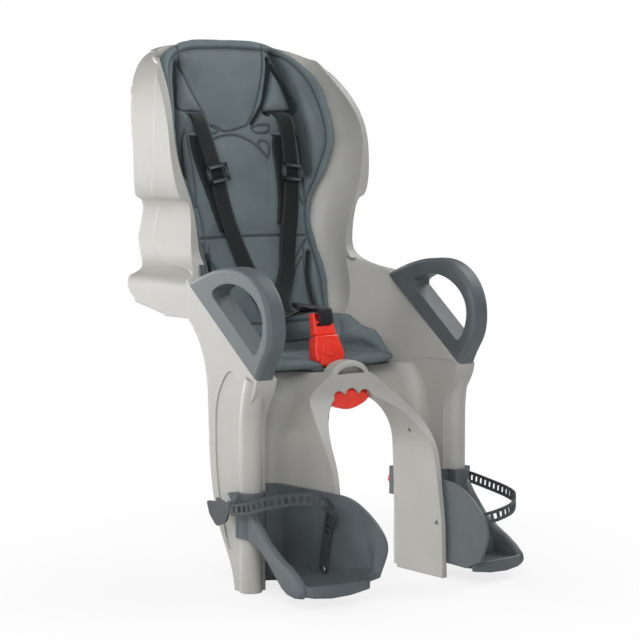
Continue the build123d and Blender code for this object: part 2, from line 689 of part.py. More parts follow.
def strap_adjuster():
    """Slide frame that the right webbing runs through."""
    _, path = shoulder_strap()
    at = path.location_at(ADJUSTER_AT, position_mode=PositionMode.LENGTH)
    frame = Box(ADJUSTER_L, ADJUSTER_T, WEB_W + 2 * ADJUSTER_BAR)
    frame -= Box(2 * ADJUSTER_L, WEB_T + 2 * WEB_GAP, WEB_W + 2 * WEB_GAP)
    for shift in (-ADJUSTER_L / 4, ADJUSTER_L / 4):
        frame -= Pos(shift, 0, 0) * Box(ADJUSTER_L / 4, 2 * ADJUSTER_T, WEB_W)
    tangent = path.tangent_at(ADJUSTER_AT, position_mode=PositionMode.LENGTH)
    place = Plane(origin=at.position, x_dir=tangent, z_dir=(0, 0, 1))
    return strap_plane().location * place.location * frame


def strap_anchor():
    """Cross bar that keeps the right webbing's end behind the back."""
    stand = ANCHOR_STAND + (WEB_T / 2 + WEB_GAP + ANCHOR_T / 2) * hypot(1, BACK_LEAN)
    middle = behind_back(SLOT_Z + ANCHOR_RISE + ANCHOR_H / 2, stand)
    place = Plane(origin=middle, x_dir=(1, 0, 0), z_dir=(0, BACK_LEAN, 1))
    return place.location * Box(SLOT_W + 10, ANCHOR_T, ANCHOR_H)


def keeper_plane():
    """Frame of the buckle: X across, Y up along the buckle, Z out of its face."""
    lean = radians(BUCKLE_LEAN)
    return Plane(origin=BUCKLE_FOOT, x_dir=(1, 0, 0), z_dir=(0, -cos(lean), sin(lean)))


def slider_plane():
    """Frame of the slider: X across, Y back along the webbing, Z up."""
    tilt = radians(KEEPER_TILT)
    return Plane(origin=(0, KEEPER_Y, KEEPER_Z), x_dir=(1, 0, 0), z_dir=(0, sin(tilt), cos(tilt)))


def buckle_body():
    half = BUCKLE_W / 2
    face = make_face(mirrored([
        Line((0, 0), (half - 12, 0)),
        Spline((half - 12, 0), (half - 2, 9), (half - 3, 24), (half, BUCKLE_L),
               tangents=((1, 0.1), (0.1, 1))),
        Line((half, BUCKLE_L), (0, BUCKLE_L)),
    ]))
    body = extrude(face, BUCKLE_T / 2, both=True)
    body = fillet(body.faces().sort_by(Axis.Z)[-1].edges() + body.faces().sort_by(Axis.Z)[0].edges(), 3)
    depth = BUTTON_PROUD + BUTTON_T + BUTTON_SPRING_L
    body -= Pos(0, BUTTON_AT, BUCKLE_T / 2 - depth / 2 + BUTTON_PROUD) * Cylinder(BUTTON_R + WEB_GAP, depth)
    body -= Pos(0, 2, 0) * Box(WEB_W + 2 * WEB_GAP, 12, WEB_T + 2 * WEB_GAP)
    return keeper_plane().location * body


def buckle_button():
    top = BUCKLE_T / 2 + BUTTON_PROUD
    button = Pos(0, BUTTON_AT, top - BUTTON_T / 2) * Cylinder(BUTTON_R, BUTTON_T)
    button = fillet(button.edges().group_by(Axis.Z)[-1], 1.0)
    return keeper_plane().location * button


def buckle_tongue():
    """Red latch plate with the slot for the keeper's webbing."""
    low = BUCKLE_L + TONGUE_GAP
    half = TONGUE_W / 2
    face = make_face(mirrored([
        Line((0, low), (half, low)),
        Spline((half, low), (half - 1, low + 0.6 * TONGUE_L), (half - 3, low + TONGUE_L),
               tangents=((0, 1), (-0.6, 1))),
        Line((half - 3, low + TONGUE_L), (0, low + TONGUE_L)),
    ]))
    plate = extrude(face, TONGUE_T / 2, both=True)
    plate -= Pos(0, low + TONGUE_L - TONGUE_EYE, 0) * extrude(SlotOverall(TONGUE_EYE_W, 5), TONGUE_T,
                                                              both=True)
    return keeper_plane().location * plate


def tongue_slider():
    """Black keeper that gathers both shoulder webbings behind the tongue."""
    bar = Box(2 * STRAP_END_X + WEB_W + 2 * ADJUSTER_BAR, KEEPER_L, KEEPER_T)
    bar = slider_plane().location * fillet(bar.edges().filter_by(Axis.Z), 2)
    upper, _ = ribbon(strap_plane(), strap_points(), STRAP_BEND_R, WEB_W + 2 * WEB_GAP, WEB_T + 2 * WEB_GAP)
    lower = tongue_web(TONGUE_WEB_W + 2 * WEB_GAP, WEB_T + 2 * WEB_GAP)
    return bar - both_sides(upper) - lower


def tongue_web(width, thickness):
    """Short webbing in the plane of symmetry, from the slider into the tongue's slot."""
    eye = BUCKLE_L + TONGUE_GAP + TONGUE_L - TONGUE_EYE
    route = [
        slider_plane().from_local_coords(Vector(0, KEEPER_L / 4, KEEPER_LOWER)),
        slider_plane().from_local_coords(Vector(0, -KEEPER_L / 2 - 4, KEEPER_LOWER)),
        keeper_plane().from_local_coords(Vector(0, eye, -TONGUE_T / 2 - 2)),
        keeper_plane().from_local_coords(Vector(0, eye, 0)),
    ]
    web, _ = ribbon(Plane.YZ, [(point.Y, point.Z) for point in route], WEB_T, width, thickness)
    return web


def tongue_strap():
    return tongue_web(TONGUE_WEB_W, WEB_T)


def crotch_strap():
    low = SEAT_Z - WALL - 8
    web = block(-WEB_W / 2, WEB_W / 2, CROTCH_Y - WEB_T / 2, CROTCH_Y + WEB_T / 2, low, BUCKLE_FOOT[2] - 1)
    hook = keeper_plane().location * (Pos(0, 2.5, 0) * Box(WEB_W, 7, WEB_T))
    return web + hook


def crotch_anchor():
    """Cross bar under the seat that the crotch webbing is sewn round."""
    half = CROTCH_W / 2 + 8
    top = SEAT_Z - WALL - 0.3
    bar = block(-half, half, CROTCH_Y - 7, CROTCH_Y + 7, top - 5, top)
    return bar - Pos(0, CROTCH_Y, top) * Box(WEB_W + 2 * WEB_GAP, WEB_T + 2 * WEB_GAP, 40)


def leaf_spring(half, height):
    """Bowed strip that presses along local Z, from the origin up."""
    foot_z = SPRING_T / 2
    bow = ThreePointArc((-half, foot_z), (0, height - foot_z), (half, foot_z))
    return extrude(Plane.XZ * trace(bow, SPRING_T), SPRING_W / 2, both=True)


def button_spring():
    low = BUCKLE_T / 2 - BUTTON_T - BUTTON_SPRING_L + BUTTON_PROUD
    place = Pos(0, BUTTON_AT, low + SPRING_SEAT)
    return keeper_plane().location * place * leaf_spring(BUTTON_R - 3, BUTTON_SPRING_L - 2 * SPRING_SEAT)


def foot_room(gap):
    return channel_plan(-gap, CHANNEL_IN, CHANNEL_BACK_Y)


def footrest():
    """Right footrest: heel cup, side guard, sloping tray, collar round the post and slide block."""
    cup_plan = foot_room(FOOT_GAP) - foot_room(FOOT_GAP + FOOT_WALL)
    cup = extrude(Pos(0, 0, FOOT_LOW_Z) * cup_plan, FOOT_TOP_Z - FOOT_LOW_Z)
    rear_y = CHANNEL_BACK_Y + 20
    floor_line = [(rear_y, FOOT_HEEL_Z), (FOOT_SOLE_Y, FOOT_LOW_Z), FOOT_TOE]
    guard = side_prism(
        polyline_edges([(rear_y, FOOT_TOP_Z), GUARD[0]]) + [Spline(*GUARD, tangents=((-1, 0), (0.4, -1)))]
        + polyline_edges([GUARD[-1], (FOOT_SOLE_Y, FOOT_LOW_Z), (rear_y, FOOT_HEEL_Z),
                          (rear_y, FOOT_TOP_Z)]),
        0, SIDE_SPLIT + 6)
    outer = side_prism(
        polyline_edges([(rear_y, FOOT_TOP_Z), (POST_Y - 6, FOOT_TOP_Z),
                        (POST_Y - 24, COLLAR_LOW_Z + 8)] + FOOT_ARM
                        + [FOOT_TOE, (FOOT_SOLE_Y, FOOT_LOW_Z), (rear_y, FOOT_HEEL_Z),
                           (rear_y, FOOT_TOP_Z)]),
        SIDE_SPLIT + 6, SIDE_FAR)
    cup = cup & (guard + outer)
    tray_plan = foot_room(FOOT_GAP) & toe_plan(0)
    top_line = [(y, z + FOOT_FLOOR) for y, z in floor_line[::-1]]
    floor = side_prism(polyline_edges(floor_line + top_line + floor_line[:1]), 0, SIDE_FAR)
    tray = extrude(Pos(0, 0, FOOT_LOW_Z - 5) * tray_plan, 90) & floor
    lip_plan = tray_plan - (foot_room(FOOT_GAP + LIP_T) & toe_plan(LIP_T))
    lip_line = [(y, z + FOOT_FLOOR + FOOT_LIP) for y, z in floor_line[::-1]]
    lip_room = side_prism(polyline_edges(floor_line + lip_line + floor_line[:1]), 0, SIDE_FAR)
    lip = extrude(Pos(0, 0, FOOT_LOW_Z - 5) * lip_plan, 90) & lip_room
    ring_r = POST_R + COLLAR_GAP
    ring = Pos(POST_X, POST_Y, (FOOT_TOP_Z + COLLAR_LOW_Z) / 2) * (
        Cylinder(ring_r + COLLAR_WALL, FOOT_TOP_Z - COLLAR_LOW_Z) - Cylinder(ring_r, FAR))
    front_half = block(0, SIDE_FAR, -SIDE_FAR, LEG_FRONT_Y - FOOT_GAP, -SIDE_FAR, 0)
    outer_half = block(LEG_HALF + FOOT_GAP, SIDE_FAR, -SIDE_FAR, POST_Y + 14, -SIDE_FAR, 0)
    collar = ring & (front_half + outer_half)
    front_y = LEG_FRONT_Y - FOOT_GAP
    bridge = block(CHANNEL_OUT - 9, POST_X - ring_r + 2, front_y - 15, front_y, COLLAR_LOW_Z, FOOT_TOP_Z)
    bridge -= Pos(POST_X, POST_Y, 0) * Cylinder(ring_r, FAR)
    lug = block(POST_X + ring_r + 2, LUG_OUT - 6.5, POST_Y - 2, POST_Y + 14, FOOT_TOP_Z - LUG_H, FOOT_TOP_Z)
    peg = Pos(LUG_OUT - 5, PEG_Y, STRAP_Z) * (Rot(Y=90) * Cylinder(PEG_R, 8))
    block_front = CHANNEL_BACK_Y + WALL + FOOT_GAP
    slide = block(RAIL_SLOT_X - 13, RAIL_SLOT_X + 13, block_front, BLOCK_REAR_Y, LOCK_Z - 20, LOCK_Z + 20)
    tongue = block(RAIL_SLOT_X - RAIL_SLOT_W / 2 + FOOT_GAP / 2,
                   RAIL_SLOT_X + RAIL_SLOT_W / 2 - FOOT_GAP / 2,
                   CHANNEL_BACK_Y - FOOT_GAP - 2, block_front + 2, LOCK_Z - 18, LOCK_Z + 18)
    bore_depth = BLOCK_REAR_Y - block_front - 1.5
    bore = Rot(X=90) * Cylinder(LOCK_R + LOCK_FIT, bore_depth)
    bore = Pos(RAIL_SLOT_X, BLOCK_REAR_Y - bore_depth / 2, LOCK_Z) * bore
    rest = cup + tray + lip + collar + bridge + lug + peg + ((slide + tongue) - bore)
    return rest - rivet_place() * Cylinder(PEG_R + RIVET_FIT, 4 * FOOT_WALL)


def toe_plan(inset):
    """The tray seen from above: square at the heel and round at the toe."""
    x = (CHANNEL_OUT + CHANNEL_IN) / 2 - 5
    half = (CHANNEL_OUT - CHANNEL_IN) / 2 + 10 - inset
    toe = Pos(x, TOE_CENTRE_Y) * Ellipse(half, TOE_LENGTH - inset)
    return Pos(x, TOE_CENTRE_Y / 2) * Rectangle(2 * half, -TOE_CENTRE_Y) + toe


def footrest_lock():
    """Red push button in the right slide block, behind the leg."""
    rear = LOCK_TIP_Y
    front = BLOCK_REAR_Y - LOCK_SEAT
    button = Pos(RAIL_SLOT_X, (rear + front) / 2, LOCK_Z) * (Rot(X=90) * Cylinder(LOCK_R, rear - front))
    return fillet(button.edges().group_by(Axis.Y)[-1], 1.5)


def lock_spring():
    block_front = CHANNEL_BACK_Y + WALL + FOOT_GAP
    low = block_front + 1.5
    high = BLOCK_REAR_Y - LOCK_SEAT
    place = Pos(RAIL_SLOT_X, low + SPRING_SEAT, LOCK_Z) * Rot(X=-90)
    return place * leaf_spring(LOCK_R - 3, high - low - 2 * SPRING_SEAT)


def foot_strap_path():
    guard_x = CHANNEL_IN + FOOT_GAP + FOOT_WALL + CHANNEL_FLARE * (STRAP_GUARD_Y - TUNNEL_TOE_Y)
    x_out = LUG_OUT - 5
    return FilletPolyline((x_out, STRAP_TAIL_Y), (x_out, -205), (170, -290), (118, -296),
                          (guard_x + FOOT_WEB_T / 2 + 0.4, STRAP_GUARD_Y), radius=26)


def foot_strap():
    """Right foot strap: a slotted band over the foot, its tail at the lug and its end down the guard."""
    path = foot_strap_path()
    band = extrude(Pos(0, 0, STRAP_Z - FOOT_WEB_H / 2) * trace(path, FOOT_WEB_T), FOOT_WEB_H)
    count = int((path.length - 2 * STRAP_SLOT_END) / STRAP_SLOT_PITCH)
    for k in range(count):
        at = STRAP_SLOT_END + k * STRAP_SLOT_PITCH
        tangent = path.tangent_at(at, position_mode=PositionMode.LENGTH)
        spot = path.position_at(at, position_mode=PositionMode.LENGTH)
        place = Plane(origin=(spot.X, spot.Y, STRAP_Z), x_dir=tangent, z_dir=(0, 0, 1))
        band -= place.location * Box(STRAP_SLOT_L, 3 * FOOT_WEB_T, STRAP_SLOT_H)
    tab = [(STRAP_TAIL_Y + y, STRAP_Z + z) for y, z in STRAP_TAB]
    x_out = LUG_OUT - 5
    tab = side_prism(polyline_edges(tab + tab[:1]), x_out - FOOT_WEB_T / 2, x_out + FOOT_WEB_T / 2)
    tab = fillet(tab.edges().filter_by(Axis.X), STRAP_TAB_R)
    hole = Pos(x_out, PEG_Y, STRAP_Z) * (Rot(Y=90) * Cylinder(PEG_R + 0.4, 40))
    end = guard_strip(STRAP_GUARD_Y - 2, STRAP_GUARD_Y + FOOT_WEB_H - 2, STRAP_END_Z,
                      STRAP_Z + FOOT_WEB_H / 2)
    end -= rivet_place() * Cylinder(PEG_R + 0.4, 20)
    return (band + tab - hole) + end


def guard_strip(y0, y1, z0, z1):
    """Flat strip that lies on the inside of the side guard."""
    def edge(y, stand):
        return (CHANNEL_IN + FOOT_GAP + FOOT_WALL + CHANNEL_FLARE * (y - TUNNEL_TOE_Y) + stand, y)
    corners = [edge(y0, 0.4), edge(y1, 0.4), edge(y1, 0.4 + FOOT_WEB_T), edge(y0, 0.4 + FOOT_WEB_T)]
    return extrude(Pos(0, 0, z0) * make_face(polyline_edges(corners + corners[:1])), z1 - z0)


def rivet_place():
    y = STRAP_GUARD_Y + FOOT_WEB_H / 2 - 2
    x = CHANNEL_IN + FOOT_GAP + FOOT_WALL + CHANNEL_FLARE * (y - TUNNEL_TOE_Y)
    return Pos(x, y, STRAP_END_Z + 8) * Rot(Y=90)


def foot_strap_rivet():
    """Domed rivet through the strap's end into the guard."""
    shank = Cylinder(PEG_R, 2 * FOOT_WEB_T + 3)
    head = Pos(0, 0, FOOT_WEB_T + 1.9) * Cylinder(PEG_R + 2.5, 1.8)
    return rivet_place() * (shank + fillet(head.edges().group_by(Axis.Z)[-1], 1.0))


def arc_ring(x0, x1, r0, r1, y0, y1):
    """Part of a ring about the recline axis, under it."""
    ring = Cylinder(r1, x1 - x0) - Cylinder(r0, 2 * (x1 - x0))
    ring = Pos((x0 + x1) / 2, ARC_Y, ARC_Z) * (Rot(Y=90) * ring)
    return ring & block(x0, x1, y0, y1, -100, ARC_Z - ARC_R / 2)


def recline_base():
    """Fixed base: two rod sockets, and lipped rails with a groove down the middle."""
    lip = RAIL_HALF + RAIL_LIP
    rails = arc_ring(-lip, lip, ARC_R, ARC_R + RAIL_T, RAIL_FRONT_Y, RAIL_REAR_Y)
    rails += arc_ring(-RAIL_HALF, RAIL_HALF, ARC_R, ARC_R + 2 * RAIL_T, RAIL_FRONT_Y, RAIL_REAR_Y)
    body = block(-RAIL_HALF, RAIL_HALF, BASE_FRONT_Y, BASE_REAR_Y, 0, ARC_Z - ARC_R + 40)
    body = fillet(body.edges().filter_by(Axis.Z), 6)
    body -= Pos(0, ARC_Y, ARC_Z) * (Rot(Y=90) * Cylinder(ARC_R, 4 * RAIL_HALF))
    base = body + rails
    groove = Pos(0, ARC_Y, ARC_Z) * (Rot(Y=90) * Cylinder(ARC_R + GROOVE_DEPTH, 2 * GROOVE_HALF))
    base -= groove & block(-50, 50, -300, 300, -20, 200)
    for x in (-ROD_X, ROD_X):
        bore = Rot(X=90) * Cylinder(ROD_R + ROD_GAP, 2 * (BASE_REAR_Y - BASE_FRONT_Y))
        base -= Pos(x, (BASE_FRONT_Y + BASE_REAR_Y) / 2, ROD_Z) * bore
    return base


def recline_carriage():
    """Slide under the seat: it stands on the rails and hooks under their lips."""
    inner = RAIL_HALF + RAIL_LIP + RUN_GAP
    outer = inner + CARRIAGE_WALL
    top = SEAT_Z - WALL
    plate = block(-outer, outer, CARRIAGE_FRONT_Y, CARRIAGE_REAR_Y, 0, top)
    plate = plate & (Pos(0, ARC_Y, ARC_Z) * (Rot(Y=90) * Cylinder(ARC_R - RUN_GAP, 4 * outer)))
    under = ARC_R + RAIL_T + RUN_GAP
    flange = arc_ring(inner, outer, ARC_R - 2, under + CARRIAGE_WALL, CARRIAGE_FRONT_Y, CARRIAGE_REAR_Y)
    hook = arc_ring(RAIL_HALF + RUN_GAP, outer, under, under + CARRIAGE_WALL, CARRIAGE_FRONT_Y,
                    CARRIAGE_REAR_Y)
    carriage = plate + both_sides(flange + hook)
    half = SHANK_HALF + LEVER_GAP
    carriage -= block(-half, half, CARRIAGE_FRONT_Y - 5, PIN_Y + SHANK_T / 2 + LEVER_GAP,
                      PIN_Z - SHANK_T / 2 - LEVER_GAP, PIN_Z + SHANK_T / 2 + LEVER_RISE)
    tooth_half = TOOTH_HALF + LEVER_GAP
    carriage -= block(-tooth_half, tooth_half, TOOTH_Y - TOOTH_L / 2 - 2, TOOTH_Y + TOOTH_L / 2 + 2, 0,
                      PIN_Z)
    carriage -= Pos(0, PIN_Y, PIN_Z) * (Rot(Y=90) * Cylinder(PIN_R + PIN_FIT, 2 * PIN_HALF + 1))
    for x in (-CARRIAGE_SCREW_X, CARRIAGE_SCREW_X):
        for y in CARRIAGE_SCREW_Y:
            carriage -= Pos(x, y, top) * Cylinder(SCREW_R + SCREW_FIT, 2 * CARRIAGE_SCREW_L)
    return carriage


def recline_lever():
    """Red grip under the nose, on a shank with the locking tooth."""
    tip = LEVER_HALF
    grip = make_face(mirrored([
        Spline((0, LEVER_TOP_Z), (0.6 * tip, LEVER_TOP_Z - 3), (tip, LEVER_TIP_Z),
               tangents=((1, 0), (0.3, -1))),
        Spline((tip, LEVER_TIP_Z), (0.6 * tip, LEVER_LOW_Z + 5), (0, LEVER_LOW_Z),
               tangents=((-0.6, -1), (-1, 0))),
    ]))
    grip = extrude(Plane.XZ.offset(-LEVER_REAR_Y) * grip, LEVER_REAR_Y - LEVER_FRONT_Y)
    grip = fillet(grip.faces().sort_by(Axis.Y)[0].edges(), 4)
    shank = block(-SHANK_HALF, SHANK_HALF, LEVER_REAR_Y - 4, PIN_Y, PIN_Z - SHANK_T / 2,
                  PIN_Z + SHANK_T / 2)
    eye = Pos(0, PIN_Y, PIN_Z) * (Rot(Y=90) * Cylinder(SHANK_T / 2, 2 * SHANK_HALF))
    tooth = block(-TOOTH_HALF, TOOTH_HALF, TOOTH_Y - TOOTH_L / 2, TOOTH_Y + TOOTH_L / 2, TOOTH_LOW_Z, PIN_Z)
    bore = Pos(0, PIN_Y, PIN_Z) * (Rot(Y=90) * Cylinder(PIN_R + PIN_FIT, 4 * SHANK_HALF))
    return grip + shank + eye + tooth - bore


def lever_pin():
    return Pos(0, PIN_Y, PIN_Z) * (Rot(Y=90) * Cylinder(PIN_R, 2 * PIN_HALF))


def lever_spring():
    low = PIN_Z + SHANK_T / 2
    return Pos(0, LEVER_SPRING_Y, low + SPRING_SEAT) * leaf_spring(SHANK_T / 2,
                                                                   LEVER_RISE - 2 * SPRING_SEAT)


def main():
    strap, _ = shoulder_strap()
    right = {
        "armrest": armrest(),
        "shoulder_strap": strap,
        "strap_adjuster": strap_adjuster(),
        "strap_anchor": strap_anchor(),
        "footrest": footrest(),
        "footrest_lock": footrest_lock(),
        "lock_spring": lock_spring(),
        "foot_strap": foot_strap(),
        "foot_strap_rivet": foot_strap_rivet(),
    }
    nodes = {
        "recline_base": recline_base(),
        "recline_carriage": recline_carriage(),
        "carriage_screws": carriage_screws(),
        "recline_lever": recline_lever(),
        "lever_pin": lever_pin(),
        "lever_spring": lever_spring(),
        "seat_shell": seat_shell(),
        "seat_pad": seat_pad(),
        "armrest_screws": armrest_screws(),
        "tongue_slider": tongue_slider(),
        "tongue_strap": tongue_strap(),
        "buckle_tongue": buckle_tongue(),
        "buckle_body": buckle_body(),
        "buckle_button": buckle_button(),
        "button_spring": button_spring(),
        "crotch_strap": crotch_strap(),
        "crotch_anchor": crotch_anchor(),
    }
    for name, shape in right.items():
        nodes[name + "_right"] = shape
        nodes[name + "_left"] = left(shape)
    os.makedirs("parts", exist_ok=True)
    for name, shape in nodes.items():
        export_step(shape, f"parts/{name}.step")


main()
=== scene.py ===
import json
import math
import bpy
import bmesh
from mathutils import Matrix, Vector
from mathutils.bvhtree import BVHTree
from mathutils.kdtree import KDTree


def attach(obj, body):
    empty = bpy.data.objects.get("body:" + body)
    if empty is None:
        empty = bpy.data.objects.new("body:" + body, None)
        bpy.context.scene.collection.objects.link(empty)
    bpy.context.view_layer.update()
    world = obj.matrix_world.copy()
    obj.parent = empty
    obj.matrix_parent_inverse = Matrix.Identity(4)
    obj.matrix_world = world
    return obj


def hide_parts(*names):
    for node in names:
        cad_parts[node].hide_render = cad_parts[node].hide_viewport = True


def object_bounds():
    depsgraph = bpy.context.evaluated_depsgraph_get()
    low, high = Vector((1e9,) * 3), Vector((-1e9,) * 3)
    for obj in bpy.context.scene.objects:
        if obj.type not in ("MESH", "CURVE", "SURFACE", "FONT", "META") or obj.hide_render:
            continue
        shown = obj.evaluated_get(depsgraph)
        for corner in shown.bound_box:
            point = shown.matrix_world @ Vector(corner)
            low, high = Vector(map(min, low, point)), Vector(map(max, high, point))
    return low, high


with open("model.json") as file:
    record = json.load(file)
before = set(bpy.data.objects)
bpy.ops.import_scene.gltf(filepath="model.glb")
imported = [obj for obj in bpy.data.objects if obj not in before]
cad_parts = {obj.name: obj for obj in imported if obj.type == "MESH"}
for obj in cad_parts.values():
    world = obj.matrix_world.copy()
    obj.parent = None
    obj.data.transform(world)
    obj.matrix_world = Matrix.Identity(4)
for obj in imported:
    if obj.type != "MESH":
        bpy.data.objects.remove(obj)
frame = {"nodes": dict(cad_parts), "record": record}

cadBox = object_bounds()
nodes = frame["nodes"]
scene = bpy.context.scene
mm = 0.001


# colours and materials

def linear(hexCode):
    channels = [int(hexCode[i:i + 2], 16) / 255 for i in (1, 3, 5)]
    return tuple(c / 12.92 if c <= 0.04045 else ((c + 0.055) / 1.055) ** 2.4 for c in channels) + (1.0,)


def addNode(tree, kind, settings=None, links=None):
    node = tree.nodes.new(kind)
    for key, value in (settings or {}).items():
        if isinstance(key, str) and hasattr(node, key):
            setattr(node, key, value)
        else:
            node.inputs[key].default_value = value
    for key, source in (links or {}).items():
        tree.links.new(source, node.inputs[key])
    return node


def newMaterial(name):
    material = bpy.data.materials.new(name)
    material.use_nodes = True
    tree = material.node_tree
    tree.nodes.clear()
    output = addNode(tree, "ShaderNodeOutputMaterial")
    return material, tree, output


def toneRamp(tree, source, look, low=0.0, high=1.0):
    # runs from the shade to the colour between two values of the source
    ramp = addNode(tree, "ShaderNodeValToRGB", {}, {"Fac": source})
    for stop, value, key in zip(ramp.color_ramp.elements, (low, high), ("shade", "colour")):
        stop.position = value
        stop.color = linear(look[key])
    return ramp.outputs["Color"]


def waveScale(widthMm):
    # the wave texture turns through 20 radians a metre at scale 1, and half a turn covers the width
    return 1 / (widthMm * mm) / 20 * math.pi


def mouldedPlastic(name, look):
    material, tree, output = newMaterial(name)
    place = addNode(tree, "ShaderNodeTexCoord").outputs["Object"]
    grain = addNode(tree, "ShaderNodeTexNoise", {"Scale": 1 / (look["grainMm"] * mm), "Detail": 2.0,
        "Roughness": 0.6},
                    {"Vector": place})
    cloud = addNode(tree, "ShaderNodeTexNoise", {"Scale": 1 / (look["cloudMm"] * mm), "Detail": 3.0},
                    {"Vector": place})
    cloudLow, cloudHigh = 0.3, 0.7
    tone = toneRamp(tree, cloud.outputs["Fac"], look, cloudLow, cloudHigh)
    gloss = addNode(tree, "ShaderNodeMapRange", {
        "From Min": cloudLow, "From Max": cloudHigh, "To Min": look["rough"] - 0.04,
        "To Max": look["rough"] + 0.05},
        {"Value": cloud.outputs["Fac"]})
    rounded = addNode(tree, "ShaderNodeBevel", {"samples": 6, "Radius": look["edgeMm"] * mm})
    bump = addNode(tree, "ShaderNodeBump", {"Strength": look["bump"], "Distance": look["grainMm"] * mm * 0.3},
                   {"Height": grain.outputs["Fac"], "Normal": rounded.outputs["Normal"]})
    shader = addNode(tree, "ShaderNodeBsdfPrincipled",
                     {"IOR": look["ior"], "Specular IOR Level": look["specular"]},
                     {"Base Color": tone, "Roughness": gloss.outputs["Result"],
                      "Normal": bump.outputs["Normal"]})
    tree.links.new(shader.outputs["BSDF"], output.inputs["Surface"])
    return material


# satin polypropylene from a spark-eroded mould: broad soft highlights, a barely visible grain
shellPolypropylene = mouldedPlastic("mouldedPolypropyleneGrey", {
    "colour": "#B4B3AE", "shade": "#ADACA7", "rough": 0.42, "ior": 1.49, "specular": 0.4,
    "grainMm": 1.1, "cloudMm": 60, "bump": 0.06, "edgeMm": 2.5})
# glass-filled polypropylene with a coarser eroded grain: dull, slightly blue dark grey
gripPolypropylene = mouldedPlastic("grainedPolypropyleneDark", {
    "colour": "#60676B", "shade": "#585F63", "rough": 0.5, "ior": 1.49, "specular": 0.4,
    "grainMm": 1.0, "cloudMm": 30, "bump": 0.12, "edgeMm": 1.5})
# acetal buckle parts: smooth black with a soft shine
blackAcetal = mouldedPlastic("mouldedAcetalBlack", {
    "colour": "#1D2022", "shade": "#17191B", "rough": 0.38, "ior": 1.48, "specular": 0.45,
    "grainMm": 0.8, "cloudMm": 12, "bump": 0.05, "edgeMm": 0.6})
# ABS in signal red: clean colour, soft gloss
redAbs = mouldedPlastic("mouldedAbsRed", {
    "colour": "#FF4636", "shade": "#FA3C2C", "rough": 0.33, "ior": 1.53, "specular": 0.45,
    "grainMm": 0.8, "cloudMm": 14, "bump": 0.03, "edgeMm": 0.8})
# soft thermoplastic strap rubber: dark and dull
strapRubber = mouldedPlastic("softStrapRubber", {
    "colour": "#474D51", "shade": "#3E4448", "rough": 0.5, "ior": 1.5, "specular": 0.35,
    "grainMm": 0.9, "cloudMm": 10, "bump": 0.1, "edgeMm": 0.5})


def platedSteel():
    # zinc plated steel: bright, slightly streaked
    material, tree, output = newMaterial("zincPlatedSteel")
    place = addNode(tree, "ShaderNodeTexCoord").outputs["Object"]
    streak = addNode(tree, "ShaderNodeTexNoise", {"Scale": 1 / (3 * mm), "Detail": 3.0}, {"Vector": place})
    rough = addNode(tree, "ShaderNodeMapRange", {"To Min": 0.22, "To Max": 0.38},
                    {"Value": streak.outputs["Fac"]})
    shader = addNode(tree, "ShaderNodeBsdfPrincipled", {"Base Color": linear("#C4C8CB"), "Metallic": 1.0},
                     {"Roughness": rough.outputs["Result"]})
    tree.links.new(shader.outputs["BSDF"], output.inputs["Surface"])
    return material


def cushionFabric():
    # knitted polyester over foam: dull slate with a fine weave, a soft sheen and painted shade in the pressed
    # seams and hollows
    look = {"colour": "#778387", "shade": "#6D797D", "groove": "#1A2224", "threadMm": 1.3, "cloudMm": 45}
    material, tree, output = newMaterial("knittedPolyesterSlate")
    place = addNode(tree, "ShaderNodeTexCoord").outputs["Object"]
    # threads are drawn a little coarser than life so that they show
    waves = []
    for axis in ("X", "Z"):
        waves.append(addNode(tree, "ShaderNodeTexWave", {
            "wave_type": "BANDS", "bands_direction": axis, "Scale": waveScale(look["threadMm"]),
            "Distortion": 0.6, "Detail": 1.0}, {"Vector": place}).outputs["Fac"])
    weave = addNode(tree, "ShaderNodeMath", {"operation": "MULTIPLY"}, {0: waves[0], 1: waves[1]})
    cloud = addNode(tree, "ShaderNodeTexNoise", {"Scale": 1 / (look["cloudMm"] * mm), "Detail": 4.0},
                    {"Vector": place})
    tone = toneRamp(tree, cloud.outputs["Fac"], look, 0.35, 0.68)
    # inputs 0, 6 and 7 of a colour mix are its factor and its two colours, output 2 is the mixed colour
    threadTone = addNode(tree, "ShaderNodeMix", {"data_type": "RGBA", "blend_type": "MULTIPLY", 0: 0.16},
                         {6: tone, 7: weave.outputs["Value"]})
    # painted shade: the seam attribute mixes a near black into the cloth along the seams and in the hollows
    # beside the head, where shade falls
    seam = addNode(tree, "ShaderNodeAttribute", {"attribute_name": "seamPaintedShade"})
    grooveTone = addNode(tree, "ShaderNodeMix", {"data_type": "RGBA", 7: linear(look["groove"])},
                         {0: seam.outputs["Fac"], 6: threadTone.outputs[2]})
    bump = addNode(tree, "ShaderNodeBump", {"Strength": 0.22, "Distance": 0.25 * mm},
                   {"Height": weave.outputs["Value"]})
    shader = addNode(tree, "ShaderNodeBsdfPrincipled", {
        "Roughness": 0.72, "IOR": 1.45, "Specular IOR Level": 0.3, "Sheen Weight": 0.18, "Sheen Roughness": 0.5,
        "Sheen Tint": linear("#9AA7AA")}, {"Base Color": grooveTone.outputs[2], "Normal": bump.outputs["Normal"]})
    tree.links.new(shader.outputs["BSDF"], output.inputs["Surface"])
    return material


